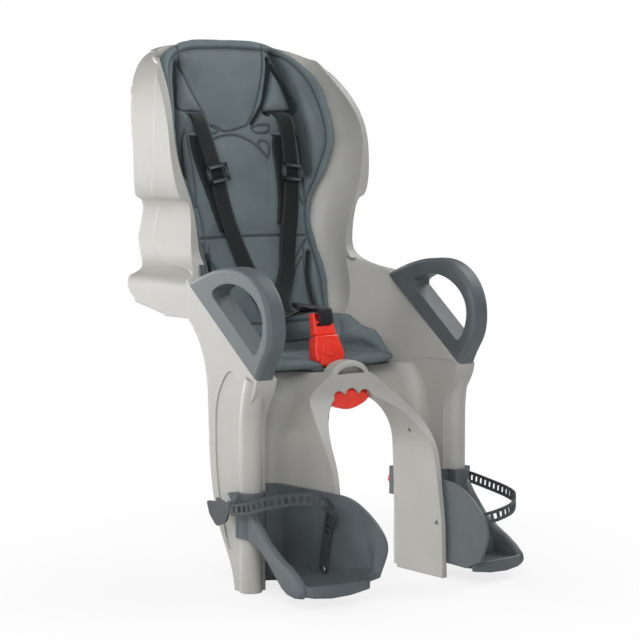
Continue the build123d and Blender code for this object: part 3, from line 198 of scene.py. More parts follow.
def wovenWebbing():
    # flat woven polyester belt: near black, fine ribs across it and a thicker selvedge at each edge
    look = {"colour": "#23282B", "shade": "#15191B", "ribMm": 1.6, "threadMm": 1.3}
    material, tree, output = newMaterial("wovenPolyesterWebbing")
    uv = addNode(tree, "ShaderNodeUVMap", {"uv_map": "webbingUv"}).outputs["UV"]
    rib = addNode(tree, "ShaderNodeTexWave", {
        "bands_direction": "X", "Scale": waveScale(look["ribMm"]), "Distortion": 0.2}, {"Vector": uv})
    warp = addNode(tree, "ShaderNodeTexWave", {
        "bands_direction": "Y", "Scale": waveScale(look["threadMm"])}, {"Vector": uv})
    weave = addNode(tree, "ShaderNodeMath", {"operation": "ADD"}, {0: rib.outputs["Fac"], 1: warp.outputs["Fac"]})
    tone = toneRamp(tree, rib.outputs["Fac"], look)
    bump = addNode(tree, "ShaderNodeBump", {"Strength": 0.35, "Distance": 0.3 * mm},
                   {"Height": weave.outputs["Value"]})
    shader = addNode(tree, "ShaderNodeBsdfPrincipled", {"Roughness": 0.6, "IOR": 1.5, "Specular IOR Level": 0.3,
                                                        "Sheen Weight": 0.15, "Sheen Roughness": 0.4},
                     {"Base Color": tone, "Normal": bump.outputs["Normal"]})
    tree.links.new(shader.outputs["BSDF"], output.inputs["Surface"])
    return material


steel = platedSteel()
slateFabric = cushionFabric()
webbing = wovenWebbing()
slotFinish = {
    "shell_plastic": shellPolypropylene, "dark_plastic": gripPolypropylene, "black_plastic": blackAcetal,
    "red_plastic": redAbs, "cushion": slateFabric, "webbing": webbing, "strap_rubber": strapRubber,
    "steel": steel}
for part in frame["record"]["subparts"]:
    mesh = nodes[part["node"]].data
    mesh.materials.clear()
    mesh.materials.append(slotFinish[part["material_slot"]])
print("materials on", len(nodes), "solids")


# mesh helpers

# rays start this far out from the middle, in metres
rayStart = 0.3
# edge of a cutter: as good as sharp
cutEdge = 0.01 * mm


def addObject(name, mesh, material):
    piece = bpy.data.objects.new(name, mesh)
    scene.collection.objects.link(piece)
    mesh.materials.clear()
    mesh.materials.append(material)
    return piece


def evaluatedMesh(piece):
    graph = bpy.context.evaluated_depsgraph_get()
    return bpy.data.meshes.new_from_object(piece.evaluated_get(graph), depsgraph=graph)


def meshFrom(edit, name):
    mesh = bpy.data.meshes.new(name)
    edit.to_mesh(mesh)
    edit.free()
    return mesh


def surfaceTree(mesh):
    return BVHTree.FromPolygons([v.co for v in mesh.vertices], [tuple(f.vertices) for f in mesh.polygons])


def frontHit(tree, x, z):
    # where a line from the front meets the surface, with the normal there
    return tree.ray_cast(Vector((x, -rayStart, z)), Vector((0, 1, 0)))[:2]


def evenOut(mesh, passes, chosen=None):
    edit = bmesh.new()
    edit.from_mesh(mesh)
    verts = [v for v in edit.verts if chosen is None or chosen(v.co)]
    for k in range(passes):
        bmesh.ops.smooth_vert(edit, verts=verts, factor=0.5, use_axis_x=True, use_axis_y=True, use_axis_z=True)
    edit.to_mesh(mesh)
    edit.free()


def smoothPath(points, perSpan):
    # Catmull-Rom curve through the points, in metres
    pts = [Vector(p) * mm for p in points]
    pts = [2 * pts[0] - pts[1]] + pts + [2 * pts[-1] - pts[-2]]
    path = []
    for a, b, c, d in zip(pts, pts[1:], pts[2:], pts[3:]):
        for k in range(perSpan):
            t = k / perSpan
            path.append(0.5 * (2 * b + (c - a) * t + (2 * a - 5 * b + 4 * c - d) * t * t
                               + (3 * b - a - 3 * c + d) * t ** 3))
    path.append(pts[-2])
    return path


def mixAlong(values, count):
    # spreads values evenly over count stations
    out = []
    for k in range(count):
        f = k / (count - 1) * (len(values) - 1)
        i = min(int(f), len(values) - 2)
        out.append(Vector(values[i]).lerp(Vector(values[i + 1]), f - i))
    return out


# cushion: remeshed from its solid, swelled as cloth between its seams, then pressed along them

cushion = {
    "swell": 2.2 * mm, "voxel": 3.1 * mm, "smoothing": 9, "pressure": 4.0, "frames": 20, "cap": 7 * mm,
    "pinWidth": 3.5 * mm, "edgePin": 6 * mm, "puff": 4.0 * mm, "puffReach": 15 * mm, "border": 9.0,
    "slotX": 76, "slotHalf": 19, "slotHeights": (430, 403), "slotNow": 7.5, "slotGoal": 0.6, "slotReach": 17.0,
    "grooveWidth": 1.8 * mm, "grooveDepth": 2.0 * mm, "deepWidth": 4.0 * mm, "deepDepth": 6.0 * mm,
    "valleyWidth": 10 * mm, "valleyDepth": 7.0 * mm, "slotMargin": 6, "slotFade": 8, "slotLeast": 0.3,
    # the last entry on this line and the next weigh the painted shade in the thin seams and in the hollows
    "touch": 5 * mm, "free": 6 * mm, "edgeInset": 1.5, "refine": (7 * mm, 3.5 * mm), "thinShadeShare": 0.6,
    "valleyShadeShare": 0.85,
}
# seat wings, the buckle's place and the side rims, in mm
seatForm = {
    "wingY": 62, "wingX": 85, "fade": 30, "drawIn": 0.25, "lowerZ": 92, "lower": 0.16,
    "pressWide": 26, "pressY": -84, "pressLong": 18, "pressZ": 76, "pressMost": 9.0,
    "rimX": 78, "rimY": 66, "rimZ": 200, "rimPasses": 14,
}
cushionCloth = {
    "quality": 4, "mass": 0.2, "use_pressure": True, "uniform_pressure_force": cushion["pressure"],
    "vertex_group_mass": "held", "tension_stiffness": 12, "compression_stiffness": 12, "bending_stiffness": 0.3,
}
# thin seams on the back as (x, z) in mm
backSeams = {
    "headLeft": [(-88, 530), (-86, 496), (-75, 465), (-57, 433), (-50, 415), (-26, 406), (-6, 408), (16, 414)],
    "headRight": [(62, 531), (58, 498), (47, 466), (33, 437), (16, 414)],
    "arch": [(-58, 366), (-51, 390), (-33, 398), (-10, 400), (12, 394), (29, 384), (47, 366)],
    "leftPanel": [(-93, 505), (-98, 472), (-100, 438), (-58, 433)],
    "lensUpper": [(23, 410), (37, 414), (56, 414), (54, 405), (32, 403), (23, 410)],
    "lensLower": [(31, 387), (39, 392), (51, 386), (48, 370), (37, 378), (31, 387)],
    "lensUpperLeft": [(-33, 410), (-47, 414), (-60, 412), (-58, 404), (-42, 403), (-33, 410)],
    "leafRight": [(97, 408), (101, 392), (99, 351), (94, 300), (88, 312), (86, 345), (90, 385), (97, 408)],
    "leafLeft": [(-97, 408), (-104, 392), (-106, 351), (-102, 300), (-95, 312), (-92, 345), (-94, 385),
                 (-97, 408)],
    "cross": [(-100, 254), (0, 255), (88, 254)],
    "ribLeftOne": [(-99, 248), (-90, 226), (-70, 200)],
    "ribRightOne": [(88, 248), (74, 230), (55, 205)],
    "ribRightTwo": [(78, 222), (66, 207), (55, 190)],
    "ribLeftTwo": [(-84, 222), (-72, 207), (-60, 190)],
    "lumbarRight": [(82, 240), (80, 200), (80, 160), (84, 128)],
    "lumbarLeft": [(-84, 240), (-84, 200), (-84, 160), (-88, 128)],
    "foldUpper": [(-95, 132), (0, 130), (95, 132)],
    "foldLower": [(-90, 104), (0, 102), (90, 104)],
}
# seams that are pressed in further
deepSeams = {
    "headGroove": [(70, 512), (69, 500), (59, 466), (49, 442), (26, 416)],
    "triangleRight": [(74, 502), (62, 468), (52, 434), (98, 436), (92, 466), (74, 502)],
    "lowLeafRight": [(89, 228), (85, 197), (85, 175), (88, 150), (99, 134)],
    "lowLeafLeft": [(-89, 228), (-86, 197), (-86, 175), (-90, 150), (-99, 134)],
}
# wide hollows beside the head and shoulders
valleys = {
    "crescentRight": [(80, 520), (92, 486), (102, 434), (107, 390), (106, 345)],
    "crescentLeft": [(-92, 500), (-102, 472), (-108, 438), (-113, 401), (-110, 345)],
}
# seams on the seat as (x, y) in mm
seatSeams = {
    "seatFold": [(-100, 44), (0, 40), (100, 44)],
    "seatCross": [(-92, -30), (0, -26), (92, -30)],
}
deepSeatSeams = {
    "bolsterRight": [(92, 44), (99, 15), (108, -20), (117, -50), (124, -74)],
    "bolsterLeft": [(-92, 44), (-99, 15), (-108, -20), (-117, -50), (-124, -74)],
}
backEdge = [(0, 536), (76, 531), (117, 508), (139, 455), (145, 392), (124, 336), (105, 300), (100, 262),
            (105, 228),
            (110, 190), (108, 140)]


def weldedCopy(node, name):
    mesh = nodes[node].data.copy()
    mesh.name = name
    edit = bmesh.new()
    edit.from_mesh(mesh)
    bmesh.ops.remove_doubles(edit, verts=edit.verts, dist=0.02 * mm)
    edit.to_mesh(mesh)
    edit.free()
    return mesh


def insetLine(points, inset):
    # line inside a right-hand outline, given as (x, z) in mm
    path = smoothPath([(x, 0, z) for x, z in points], 8)
    line = []
    for k, p in enumerate(path):
        along = (path[min(k + 1, len(path) - 1)] - path[max(k - 1, 0)]).normalized()
        line.append(p + Vector((along.z, 0, -along.x)) * inset * mm)
    return line


def bothEdges(inset):
    # lines along the right and left edge of the back
    right = insetLine(backEdge, inset)
    return [right, [Vector((-p.x, 0, p.z)) for p in right]]


def seamSamples(tree, lines, down):
    # points every millimetre along the lines, dropped on to the cushion
    samples = []
    for line in lines:
        path = line if isinstance(line[0], Vector) else smoothPath(
            [(a, b, 0) if down else (a, 0, b) for a, b in line], 10)
        for a, b in zip(path, path[1:]):
            steps = max(1, int((b - a).length / mm))
            for k in range(steps):
                p = a.lerp(b, k / steps)
                if down:
                    hit = tree.ray_cast(Vector((p.x, p.y, rayStart)), Vector((0, 0, -1)))[0]
                else:
                    hit = frontHit(tree, p.x, p.z)[0]
                if hit:
                    samples.append(hit)
    return samples


def treeOf(samples):
    kd = KDTree(len(samples))
    for k, p in enumerate(samples):
        kd.insert(p, k)
    kd.balance()
    return kd


def narrowSlots(mesh):
    # the fabric closes on the webbing: each slot is drawn in to a slit
    now, goal, reach = cushion["slotNow"], cushion["slotGoal"], cushion["slotReach"]
    end = cushion["slotHalf"] + cushion["slotMargin"]
    for v in mesh.vertices:
        x, z = abs(v.co.x) / mm - cushion["slotX"], v.co.z / mm
        for slotZ in cushion["slotHeights"]:
            dz = z - slotZ
            if abs(dz) < reach and abs(x) < end:
                share = min(1.0, (end - abs(x)) / cushion["slotFade"])
                closer = goal + (abs(dz) - now) * (reach - goal) / (reach - now)
                v.co.z += share * (math.copysign(max(closer, cushion["slotLeast"]), dz) - dz) * mm


def shapeSeat(mesh):
    # the seat's side wings lie closer in, and the buckle presses its place into the front
    form = seatForm
    for v in mesh.vertices:
        x, y, z = v.co / mm
        if y < form["wingY"] and abs(x) > form["wingX"]:
            share = min(1.0, (form["wingY"] - y) / form["fade"])
            v.co.x = math.copysign(abs(x) - share * form["drawIn"] * (abs(x) - form["wingX"]), x) * mm
            v.co.z = (z - share * form["lower"] * max(0.0, z - form["lowerZ"])) * mm
        near = math.exp(-((x / form["pressWide"]) ** 2 + ((y - form["pressY"]) / form["pressLong"]) ** 2))
        if z > form["pressZ"]:
            v.co.z -= min(form["pressMost"], z - form["pressZ"]) * near * mm


def onSeatRim(place):
    outside = abs(place.x) > seatForm["rimX"] * mm
    return outside and place.y < seatForm["rimY"] * mm and place.z < seatForm["rimZ"] * mm


def sewnCushion():
    base = addObject("seatCushion", weldedCopy("seat_pad", "seatCushion"), slateFabric)
    # swelled a little first, so that the thin rims keep an even edge
    edit = bmesh.new()
    edit.from_mesh(base.data)
    edit.normal_update()
    swelled = [v.co + v.normal * cushion["swell"] for v in edit.verts]
    for v, place in zip(edit.verts, swelled):
        v.co = place
    edit.to_mesh(base.data)
    edit.free()
    remesh = base.modifiers.new("voxels", "REMESH")
    remesh.mode = "VOXEL"
    remesh.voxel_size = cushion["voxel"]
    mesh = evaluatedMesh(base)
    base.modifiers.clear()
    base.data = mesh
    evenOut(mesh, cushion["smoothing"])
    narrowSlots(mesh)
    shapeSeat(mesh)
    # the seat's side rims are drawn out to an even line
    evenOut(mesh, seatForm["rimPasses"], onSeatRim)
    print("cushion remeshed", len(mesh.vertices))
    solid = surfaceTree(mesh)
    thinLines = list(backSeams.values()) + bothEdges(cushion["border"])
    thin = seamSamples(solid, thinLines, False) + seamSamples(solid, list(seatSeams.values()), True)
    deep = seamSamples(solid, list(deepSeams.values()), False)
    deep += seamSamples(solid, list(deepSeatSeams.values()), True)
    wide = seamSamples(solid, list(valleys.values()), False)
    thinTree, deepTree, wideTree = treeOf(thin), treeOf(deep), treeOf(wide)
    edgeTree = treeOf(seamSamples(solid, bothEdges(cushion["edgeInset"]), False))
    shellTree = surfaceTree(nodes["seat_shell"].data)
    held = base.vertex_groups.new(name="held")
    for v in mesh.vertices:
        near = shellTree.find_nearest(v.co)[3] < cushion["touch"]
        seam = min(thinTree.find(v.co)[2], deepTree.find(v.co)[2], wideTree.find(v.co)[2])
        if near or seam < cushion["pinWidth"] or edgeTree.find(v.co)[2] < cushion["edgePin"]:
            held.add([v.index], 1.0, "REPLACE")
    rest = [v.co.copy() for v in mesh.vertices]
    cloth = base.modifiers.new("swell", "CLOTH")
    for key, value in cushionCloth.items():
        setattr(cloth.settings, key, value)
    cloth.settings.effector_weights.gravity = 0
    cloth.collision_settings.use_collision = False
    cloth.collision_settings.use_self_collision = False
    cloth.point_cache.frame_start = 1
    cloth.point_cache.frame_end = cushion["frames"]
    for f in range(1, cushion["frames"] + 1):
        scene.frame_set(f)
    mesh = evaluatedMesh(base)
    base.modifiers.clear()
    base.data = mesh
    scene.frame_set(1)
    most = 0
    for v, p in zip(mesh.vertices, rest):
        move = v.co - p
        most = max(most, move.length)
        if move.length > cushion["cap"]:
            v.co = p + move.normalized() * cushion["cap"]
    print("cushion swelled, most", round(most / mm, 1), "mm before the cap")
    mesh.update()
    lines = treeOf(thin + deep + wide)
    lift = []
    for v, p in zip(mesh.vertices, rest):
        gap = min(lines.find(p)[2], edgeTree.find(p)[2])
        away = shellTree.find_nearest(p)[3] > cushion["free"]
        rise = cushion["puff"] * (1 - math.exp(-(gap / cushion["puffReach"]) ** 2)) if away else 0.0
        lift.append(v.normal * rise)
    for v, move in zip(mesh.vertices, lift):
        v.co += move
    # extra faces along the seams, then the seams are pressed in
    edit = bmesh.new()
    edit.from_mesh(mesh)
    for reach in cushion["refine"]:
        close = [e for e in edit.edges if lines.find((e.verts[0].co + e.verts[1].co) / 2)[2] < reach]
        bmesh.ops.subdivide_edges(edit, edges=close, cuts=1, use_grid_fill=True)
    edit.normal_update()
    # this layer holds painted shade: how strongly the near black groove colour darkens each point along the seams
    # and in the hollows, where shade falls
    depth = edit.verts.layers.float.new("seamPaintedShade")
    for v in edit.verts:
        thinShare = math.exp(-(thinTree.find(v.co)[2] / cushion["grooveWidth"]) ** 2)
        deepShare = math.exp(-(deepTree.find(v.co)[2] / cushion["deepWidth"]) ** 2)
        wideShare = math.exp(-(wideTree.find(v.co)[2] / cushion["valleyWidth"]) ** 2)
        v[depth] = min(1.0, cushion["thinShadeShare"] * thinShare + deepShare + cushion["valleyShadeShare"] * wideShare)
        v.co -= v.normal * max(thinShare * cushion["grooveDepth"], deepShare * cushion["deepDepth"],
                               wideShare * cushion["valleyDepth"])
    for f in edit.faces:
        f.smooth = True
    mesh = meshFrom(edit, "seatCushion")
    base.data = mesh
    mesh.materials.append(slateFabric)
    print("cushion sewn", len(mesh.polygons), "faces")
    return base


seatCushion = sewnCushion()
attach(seatCushion, "seat")
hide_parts("seat_pad")


# harness webbing: flat belts with their own UV along the length

belt = {
    "width": 26 * mm, "thickness": 1.8 * mm, "columns": 6, "perSpan": 10, "clear": 1.6 * mm, "low": 0.17,
    "high": 0.425,
    "slotY": 0.135, "feel": 0.4, "passes": 3, "edgeFrom": 0.49, "edgeThinner": 0.45, "tongueWidth": 24 * mm,
}
cushionTree = surfaceTree(seatCushion.data)


def layOn(path):
    # below the slots the belt lies on the cushion and never in it
    laid = []
    for p in path:
        hits = [frontHit(cushionTree, p.x + side * belt["width"] * belt["feel"], p.z)[0] for side in (-1, 0, 1)]
        front = min([hit.y for hit in hits if hit] or [1.0]) - belt["clear"]
        onBack = belt["low"] < p.z < (belt["high"] if p.y < belt["slotY"] else 0.0)
        laid.append(Vector((p.x, min(p.y, front), p.z)) if onBack else p)
    for k in range(belt["passes"]):
        laid = [laid[0]] + [(a + 2 * b + c) / 4 for a, b, c in zip(laid, laid[1:], laid[2:])] + [laid[-1]]
    return laid


def flatBelt(name, routes, width, thickness, material):
    # each route is (points, across directions); the belt is a closed ribbon
    edit = bmesh.new()
    uvLayer = edit.loops.layers.uv.new("webbingUv")
    for points, across in routes:
        path = layOn(smoothPath(points, belt["perSpan"]))
        sides = mixAlong(across, len(path))
        rows, length = [], 0.0
        for k, p in enumerate(path):
            along = (path[min(k + 1, len(path) - 1)] - path[max(k - 1, 0)]).normalized()
            if k:
                length += (p - path[k - 1]).length
            side = (sides[k] - along * sides[k].dot(along)).normalized()
            out = along.cross(side).normalized()
            ring = []
            for face in (1, -1):
                for c in range(belt["columns"] + 1):
                    s = (c / belt["columns"] - 0.5) * face
                    thick = thickness / 2 * (1 - belt["edgeThinner"] * (abs(s) > belt["edgeFrom"]))
                    ring.append((edit.verts.new(p + side * s * width + out * face * thick), length, s * width))
            rows.append(ring)
        for a, b in zip(rows, rows[1:]):
            count = len(a)
            for c in range(count):
                corners = [a[c], a[(c + 1) % count], b[(c + 1) % count], b[c]]
                face = edit.faces.new([corner[0] for corner in corners])
                face.smooth = True
                for loop, corner in zip(face.loops, corners):
                    loop[uvLayer].uv = (corner[1], corner[2])
        for ring in (rows[0], rows[-1]):
            edit.faces.new([corner[0] for corner in ring])
    bmesh.ops.recalc_face_normals(edit, faces=edit.faces)
    return addObject(name, meshFrom(edit, name), material)


acrossX = (1, 0, 0)
rightBelt = flatBelt("shoulderBeltRight", [
    ([(76, 168, 446), (76, 164, 436), (76, 150, 431.5), (76, 131, 427), (76, 122, 408), (75, 115, 380),
      (73, 107, 345),
      (65, 97, 300), (53, 87, 262), (46, 80, 232), (40, 72, 206), (26, 63, 178), (12, 48, 157), (5, 24, 145),
      (3, -6, 149), (2, -24, 154), (1, -34, 156)],
     [(1, 0, 0)] * 7 + [(1, -0.1, 0.15), (1, -0.1, 0.25), (1, 0, 0.1), (1, -0.2, 0.1), (0.9, -0.1, 0.5),
                        (0.9, 0.1, 0.5), (1, 0.2, 0.2), (1, 0, 0), (1, 0, 0)]),
    ([(72, 158, 404), (70, 142, 402), (66, 130, 396), (62, 120, 375), (62, 112, 345), (60, 106, 310),
      (52, 94, 270)],
     [acrossX, acrossX]),
], belt["width"], belt["thickness"], webbing)
leftBelt = flatBelt("shoulderBeltLeft", [
    ([(-76, 168, 446), (-76, 164, 436), (-76, 150, 431.5), (-75, 131, 427), (-72, 123, 406), (-66, 117, 380),
      (-60, 107, 345), (-53, 99, 300), (-45, 86, 257), (-32, 74, 214), (-19, 65, 180), (-9, 50, 158),
      (-5, 26, 143),
      (-3, -6, 147), (-2, -24, 152), (-1, -34, 154)],
     [(1, 0, 0)] * 6 + [(1, 0, 0.1), (1, 0, 0.2), (1, -0.1, 0.3), (1, -0.1, 0.3), (1, 0, 0.2), (1, 0, 0),
                        (1, 0, 0)]),
    ([(-78, 158, 404), (-79, 142, 402), (-80, 130, 396), (-78, 122, 375), (-72, 115, 345), (-62, 107, 305),
      (-50, 94, 265)],
     [acrossX, acrossX]),
], belt["width"], belt["thickness"], webbing)
for piece, node in ((rightBelt, "shoulder_strap_right"), (leftBelt, "shoulder_strap_left")):
    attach(piece, "seat")
    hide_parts(node)
print("belts laid")


# slides on the belts: a frame with a bar across it that the webbing winds round

slide = {"width": 34 * mm, "length": 24 * mm, "rim": 3.4 * mm, "thickness": 4.2 * mm, "bar": 5 * mm,
         "lift": 4.2 * mm,
         "barDrop": 5.6 * mm, "barShare": 0.6, "roundShare": 0.28}


def boxOn(edit, centre, axes, size):
    # box with rounded edges on three given axes
    made = bmesh.ops.create_cube(edit, size=1.0)["verts"]
    for v in made:
        v.co = centre + axes[0] * v.co.x * size[0] + axes[1] * v.co.y * size[1] + axes[2] * v.co.z * size[2]
    edges = list({e for v in made for e in v.link_edges})
    bmesh.ops.bevel(edit, geom=edges, offset=min(size) * slide["roundShare"], segments=2, affect="EDGES",
                    profile=0.5)


def webbingSlide(name, place, along, across):
    along = Vector(along).normalized()
    across = (Vector(across) - along * along.dot(Vector(across))).normalized()
    out = along.cross(across)
    if out.y > 0:
        out = -out
    centre = Vector(place) * mm + out * slide["lift"]
    edit = bmesh.new()
    axes = (across, along, out)
    sideShift = (slide["width"] - slide["rim"]) / 2
    endShift = (slide["length"] - slide["rim"]) / 2
    for sign in (-1, 1):
        boxOn(edit, centre + across * sign * sideShift, axes, (slide["rim"], slide["length"], slide["thickness"]))
        boxOn(edit, centre + along * sign * endShift, axes, (slide["width"], slide["rim"], slide["thickness"]))
    boxOn(edit, centre - out * slide["barDrop"], axes,
          (slide["width"] - slide["rim"], slide["bar"], slide["thickness"] * slide["barShare"]))
    for f in edit.faces:
        f.smooth = True
    return addObject(name, meshFrom(edit, name), gripPolypropylene)


rightSlide = webbingSlide("beltSlideRight", (73, 107, 345), (-5, -9, -40), (1, 0, 0.05))
leftSlide = webbingSlide("beltSlideLeft", (-60, 107, 345), (7, -9, -40), (1, 0, 0.2))
for piece, node in ((rightSlide, "strap_adjuster_right"), (leftSlide, "strap_adjuster_left")):
    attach(piece, "seat")
    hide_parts(node)


# buckle: body, tongue and button are bevelled outlines on one leaning plane

buckle = {
    "foot": Vector((-2, -83, 80)) * mm, "lean": math.radians(17), "depth": 18 * mm, "bodyEdge": 2.2 * mm,
    "button": (0, 25), "buttonRadius": 12, "buttonGap": 0.6, "buttonBack": 5.5 * mm, "buttonOut": 1.0 * mm,
    "buttonEdge": 1.6 * mm, "pocket": 10 * mm, "slit": 5 * mm, "past": 4 * mm,
    "tongueBack": -5.5 * mm, "tongueFront": 6.5 * mm, "tongueEdge": 2.0 * mm, "eye": 9 * mm,
}
# faces that meet at more than this angle, in radians, get a rounded edge
sharpAngle = 0.9
buckleUp = Vector((0, math.sin(buckle["lean"]), math.cos(buckle["lean"])))
buckleOut = Vector((0, -math.cos(buckle["lean"]), math.sin(buckle["lean"])))
buckleAxes = (Vector((1, 0, 0)), buckleUp, buckleOut)
bodyOutline = [(0, -0.5), (9, 0), (17, 3), (23, 9), (25, 16), (23.5, 26), (21, 36), (19, 44)]
tongueOutline = [(19.2, 45), (18, 52), (17, 60), (16.4, 68), (15.6, 76), (14, 78), (12.2, 76), (11, 68),
                 (9, 65.5)]


def bevelledPlate(name, outline, low, high, edge, material, axes=buckleAxes, origin=None):
    # closed outline in mm on two axes, drawn out along the third and rounded
    origin = buckle["foot"] if origin is None else origin
    edit = bmesh.new()
    ring = [edit.verts.new(origin + axes[0] * u * mm + axes[1] * v * mm + axes[2] * low) for u, v in outline]
    face = edit.faces.new(ring)
    drawn = bmesh.ops.extrude_face_region(edit, geom=[face])
    for v in drawn["geom"]:
        if isinstance(v, bmesh.types.BMVert):
            v.co += axes[2] * (high - low)
    bmesh.ops.recalc_face_normals(edit, faces=edit.faces)
    sharp = [e for e in edit.edges if len(e.link_faces) == 2 and e.calc_face_angle() > sharpAngle]
    bmesh.ops.bevel(edit, geom=sharp, offset=edge, segments=3, affect="EDGES", profile=0.5, clamp_overlap=True)
    for f in edit.faces:
        f.smooth = len(f.verts) < 6
    return addObject(name, meshFrom(edit, name), material)


def cutAway(piece, cutters):
    for cutter in cutters:
        cut = piece.modifiers.new("cut", "BOOLEAN")
        cut.operation = "DIFFERENCE"
        cut.object = cutter
    mesh = evaluatedMesh(piece)
    piece.modifiers.clear()
    piece.data = mesh
    for cutter in cutters:
        bpy.data.objects.remove(cutter)


def circle(centre, radius, count=48):
    angles = [2 * math.pi * k / count for k in range(count)]
    return [(centre[0] + radius * math.cos(a), centre[1] + radius * math.sin(a)) for a in angles]


def bothSides(half):
    return half + [(-u, v) for u, v in reversed(half) if abs(u) > 0.01]


buckleFront = buckle["depth"] / 2
beyond, slitFloor = buckleFront + buckle["past"], buckleFront - buckle["slit"]
pocketOutline = circle(buckle["button"], buckle["buttonRadius"] + buckle["buttonGap"])
buttonOutline = circle(buckle["button"], buckle["buttonRadius"])
slitLeft = [(-21, 5), (-18.5, 4), (-16, 13), (-15.5, 17), (-18, 16)]
slitRight = [(-u, v) for u, v in reversed(slitLeft)]
eyeOutline = [(-13, 57), (13, 57), (13, 61.5), (-13, 61.5)]
bodyPlate = bevelledPlate("buckleBody", bothSides(bodyOutline), -buckleFront, buckleFront, buckle["bodyEdge"],
                          redAbs)
cutAway(bodyPlate, [
    bevelledPlate("cutButton", pocketOutline, buckleFront - buckle["pocket"], beyond, cutEdge, redAbs),
    bevelledPlate("cutSlitLeft", slitLeft, slitFloor, beyond, cutEdge, redAbs),
    bevelledPlate("cutSlitRight", slitRight, slitFloor, beyond, cutEdge, redAbs)])
buttonPlate = bevelledPlate("buckleButton", buttonOutline, buckleFront - buckle["buttonBack"],
                            buckleFront + buckle["buttonOut"], buckle["buttonEdge"], redAbs)
tonguePlate = bevelledPlate("buckleTongue", bothSides(tongueOutline), buckle["tongueBack"], buckle["tongueFront"],
                            buckle["tongueEdge"], redAbs)
cutAway(tonguePlate, [bevelledPlate("cutEye", eyeOutline, -buckle["eye"], buckle["eye"], cutEdge, redAbs)])
for piece, node, body, slot in ((bodyPlate, "buckle_body", "seat", "red_plastic"),
                                (buttonPlate, "buckle_button", "button", "red_plastic"),
                                (tonguePlate, "buckle_tongue", "seat", "red_plastic")):
    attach(piece, body)
    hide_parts(node)

# keeper plate where both belts meet, and the short webbing from it to the tongue
keeperForm = {
    "outline": [(-23, -8), (-19, -10), (19, -10), (23, -8), (23, 8), (19, 10), (-19, 10), (-23, 8)],
    "half": 3.5 * mm, "edge": 1.6 * mm, "roll": math.radians(-9), "centre": Vector((-1, -31, 159)) * mm,
}
keeperAxes = (Vector((math.cos(keeperForm["roll"]), 0, math.sin(keeperForm["roll"]))),
              Vector((0.12, 0.97, 0.2)).normalized(), Vector((0.1, -0.2, 0.97)).normalized())
keeper = bevelledPlate("beltKeeper", keeperForm["outline"], -keeperForm["half"], keeperForm["half"],
                       keeperForm["edge"],
                       blackAcetal, keeperAxes, keeperForm["centre"])


def onBuckle(u, v, w):
    return tuple(buckle["foot"] / mm + buckleAxes[0] * u + buckleAxes[1] * v + buckleAxes[2] * w)


tongueWeb = flatBelt("tongueWebbing", [
    ([(1, -26, 157), (2, -40, 158.5), onBuckle(3, 82, 7), onBuckle(3, 76, 10.5), onBuckle(3, 67, 9.8),
      onBuckle(3, 61.5, 8), onBuckle(3, 59, 3), onBuckle(3, 59.2, -4), onBuckle(3, 63, -8.5)],
      [acrossX, acrossX]),
], belt["tongueWidth"], belt["thickness"], webbing)
for piece, node, slot in ((keeper, "tongue_slider", "black_plastic"), (tongueWeb, "tongue_strap", "webbing")):
    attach(piece, "seat")
    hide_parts(node)
print("buckle made")


# grip of the recline lever: a smooth plate that fills the pocket behind the lip

grip = {"back": 0.112, "front": 0.1225, "edge": 3 * mm}
worldOrigin = Vector((0, 0, 0))
gripAxes = (Vector((1, 0, 0)), Vector((0, 0, 1)), Vector((0, -1, 0)))
gripOutline = [(-36, 40), (-30, 33), (-16, 28), (2, 26), (20, 29), (31, 34), (37, 42), (37, 50), (30, 53),
               (-28, 53), (-35, 49)]
leverGrip = bevelledPlate("leverGrip", gripOutline, grip["back"], grip["front"], grip["edge"], redAbs, gripAxes,
                          worldOrigin)
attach(leverGrip, "lever")


# stitches: one short thread set down again and again beside the border seam, by a node group

stitch = {"pitch": 4.2 * mm, "length": 2.6 * mm, "radius": 0.38 * mm, "insets": (5.5, 12.5), "clear": 0.1 * mm,
          "jump": 30 * mm}


def stitchGroup():
    group = bpy.data.node_groups.new("seamStitches", "GeometryNodeTree")
    group.interface.new_socket("Geometry", in_out="INPUT", socket_type="NodeSocketGeometry")
    for label in ("Pitch", "Length", "Radius"):
        group.interface.new_socket(label, in_out="INPUT", socket_type="NodeSocketFloat")
    group.interface.new_socket("Thread", in_out="INPUT", socket_type="NodeSocketMaterial")
    group.interface.new_socket("Geometry", in_out="OUTPUT", socket_type="NodeSocketGeometry")
    given = addNode(group, "NodeGroupInput").outputs
    curve = addNode(group, "GeometryNodeMeshToCurve", {}, {"Mesh": given["Geometry"]})
    even = addNode(group, "GeometryNodeResampleCurve", {"mode": "LENGTH"},
                   {"Curve": curve.outputs["Curve"], "Length": given["Pitch"]})
    tangent = addNode(group, "GeometryNodeInputTangent")
    turn = addNode(group, "FunctionNodeAlignRotationToVector", {"axis": "Z"},
                   {"Vector": tangent.outputs["Tangent"]})
    ball = addNode(group, "GeometryNodeMeshUVSphere", {"Segments": 6, "Rings": 5, "Radius": 1.0})
    half = addNode(group, "ShaderNodeMath", {"operation": "MULTIPLY", 1: 0.5}, {0: given["Length"]})
    size = addNode(group, "ShaderNodeCombineXYZ", {},
                   {"X": given["Radius"], "Y": given["Radius"], "Z": half.outputs["Value"]})
    placed = addNode(group, "GeometryNodeInstanceOnPoints", {}, {
        "Points": even.outputs["Curve"], "Instance": ball.outputs["Mesh"], "Rotation": turn.outputs["Rotation"],
        "Scale": size.outputs["Vector"]})
    real = addNode(group, "GeometryNodeRealizeInstances", {}, {"Geometry": placed.outputs["Instances"]})
    dressed = addNode(group, "GeometryNodeSetMaterial", {},
                      {"Geometry": real.outputs["Geometry"], "Material": given["Thread"]})
    addNode(group, "NodeGroupOutput", {}, {"Geometry": dressed.outputs["Geometry"]})
    return group


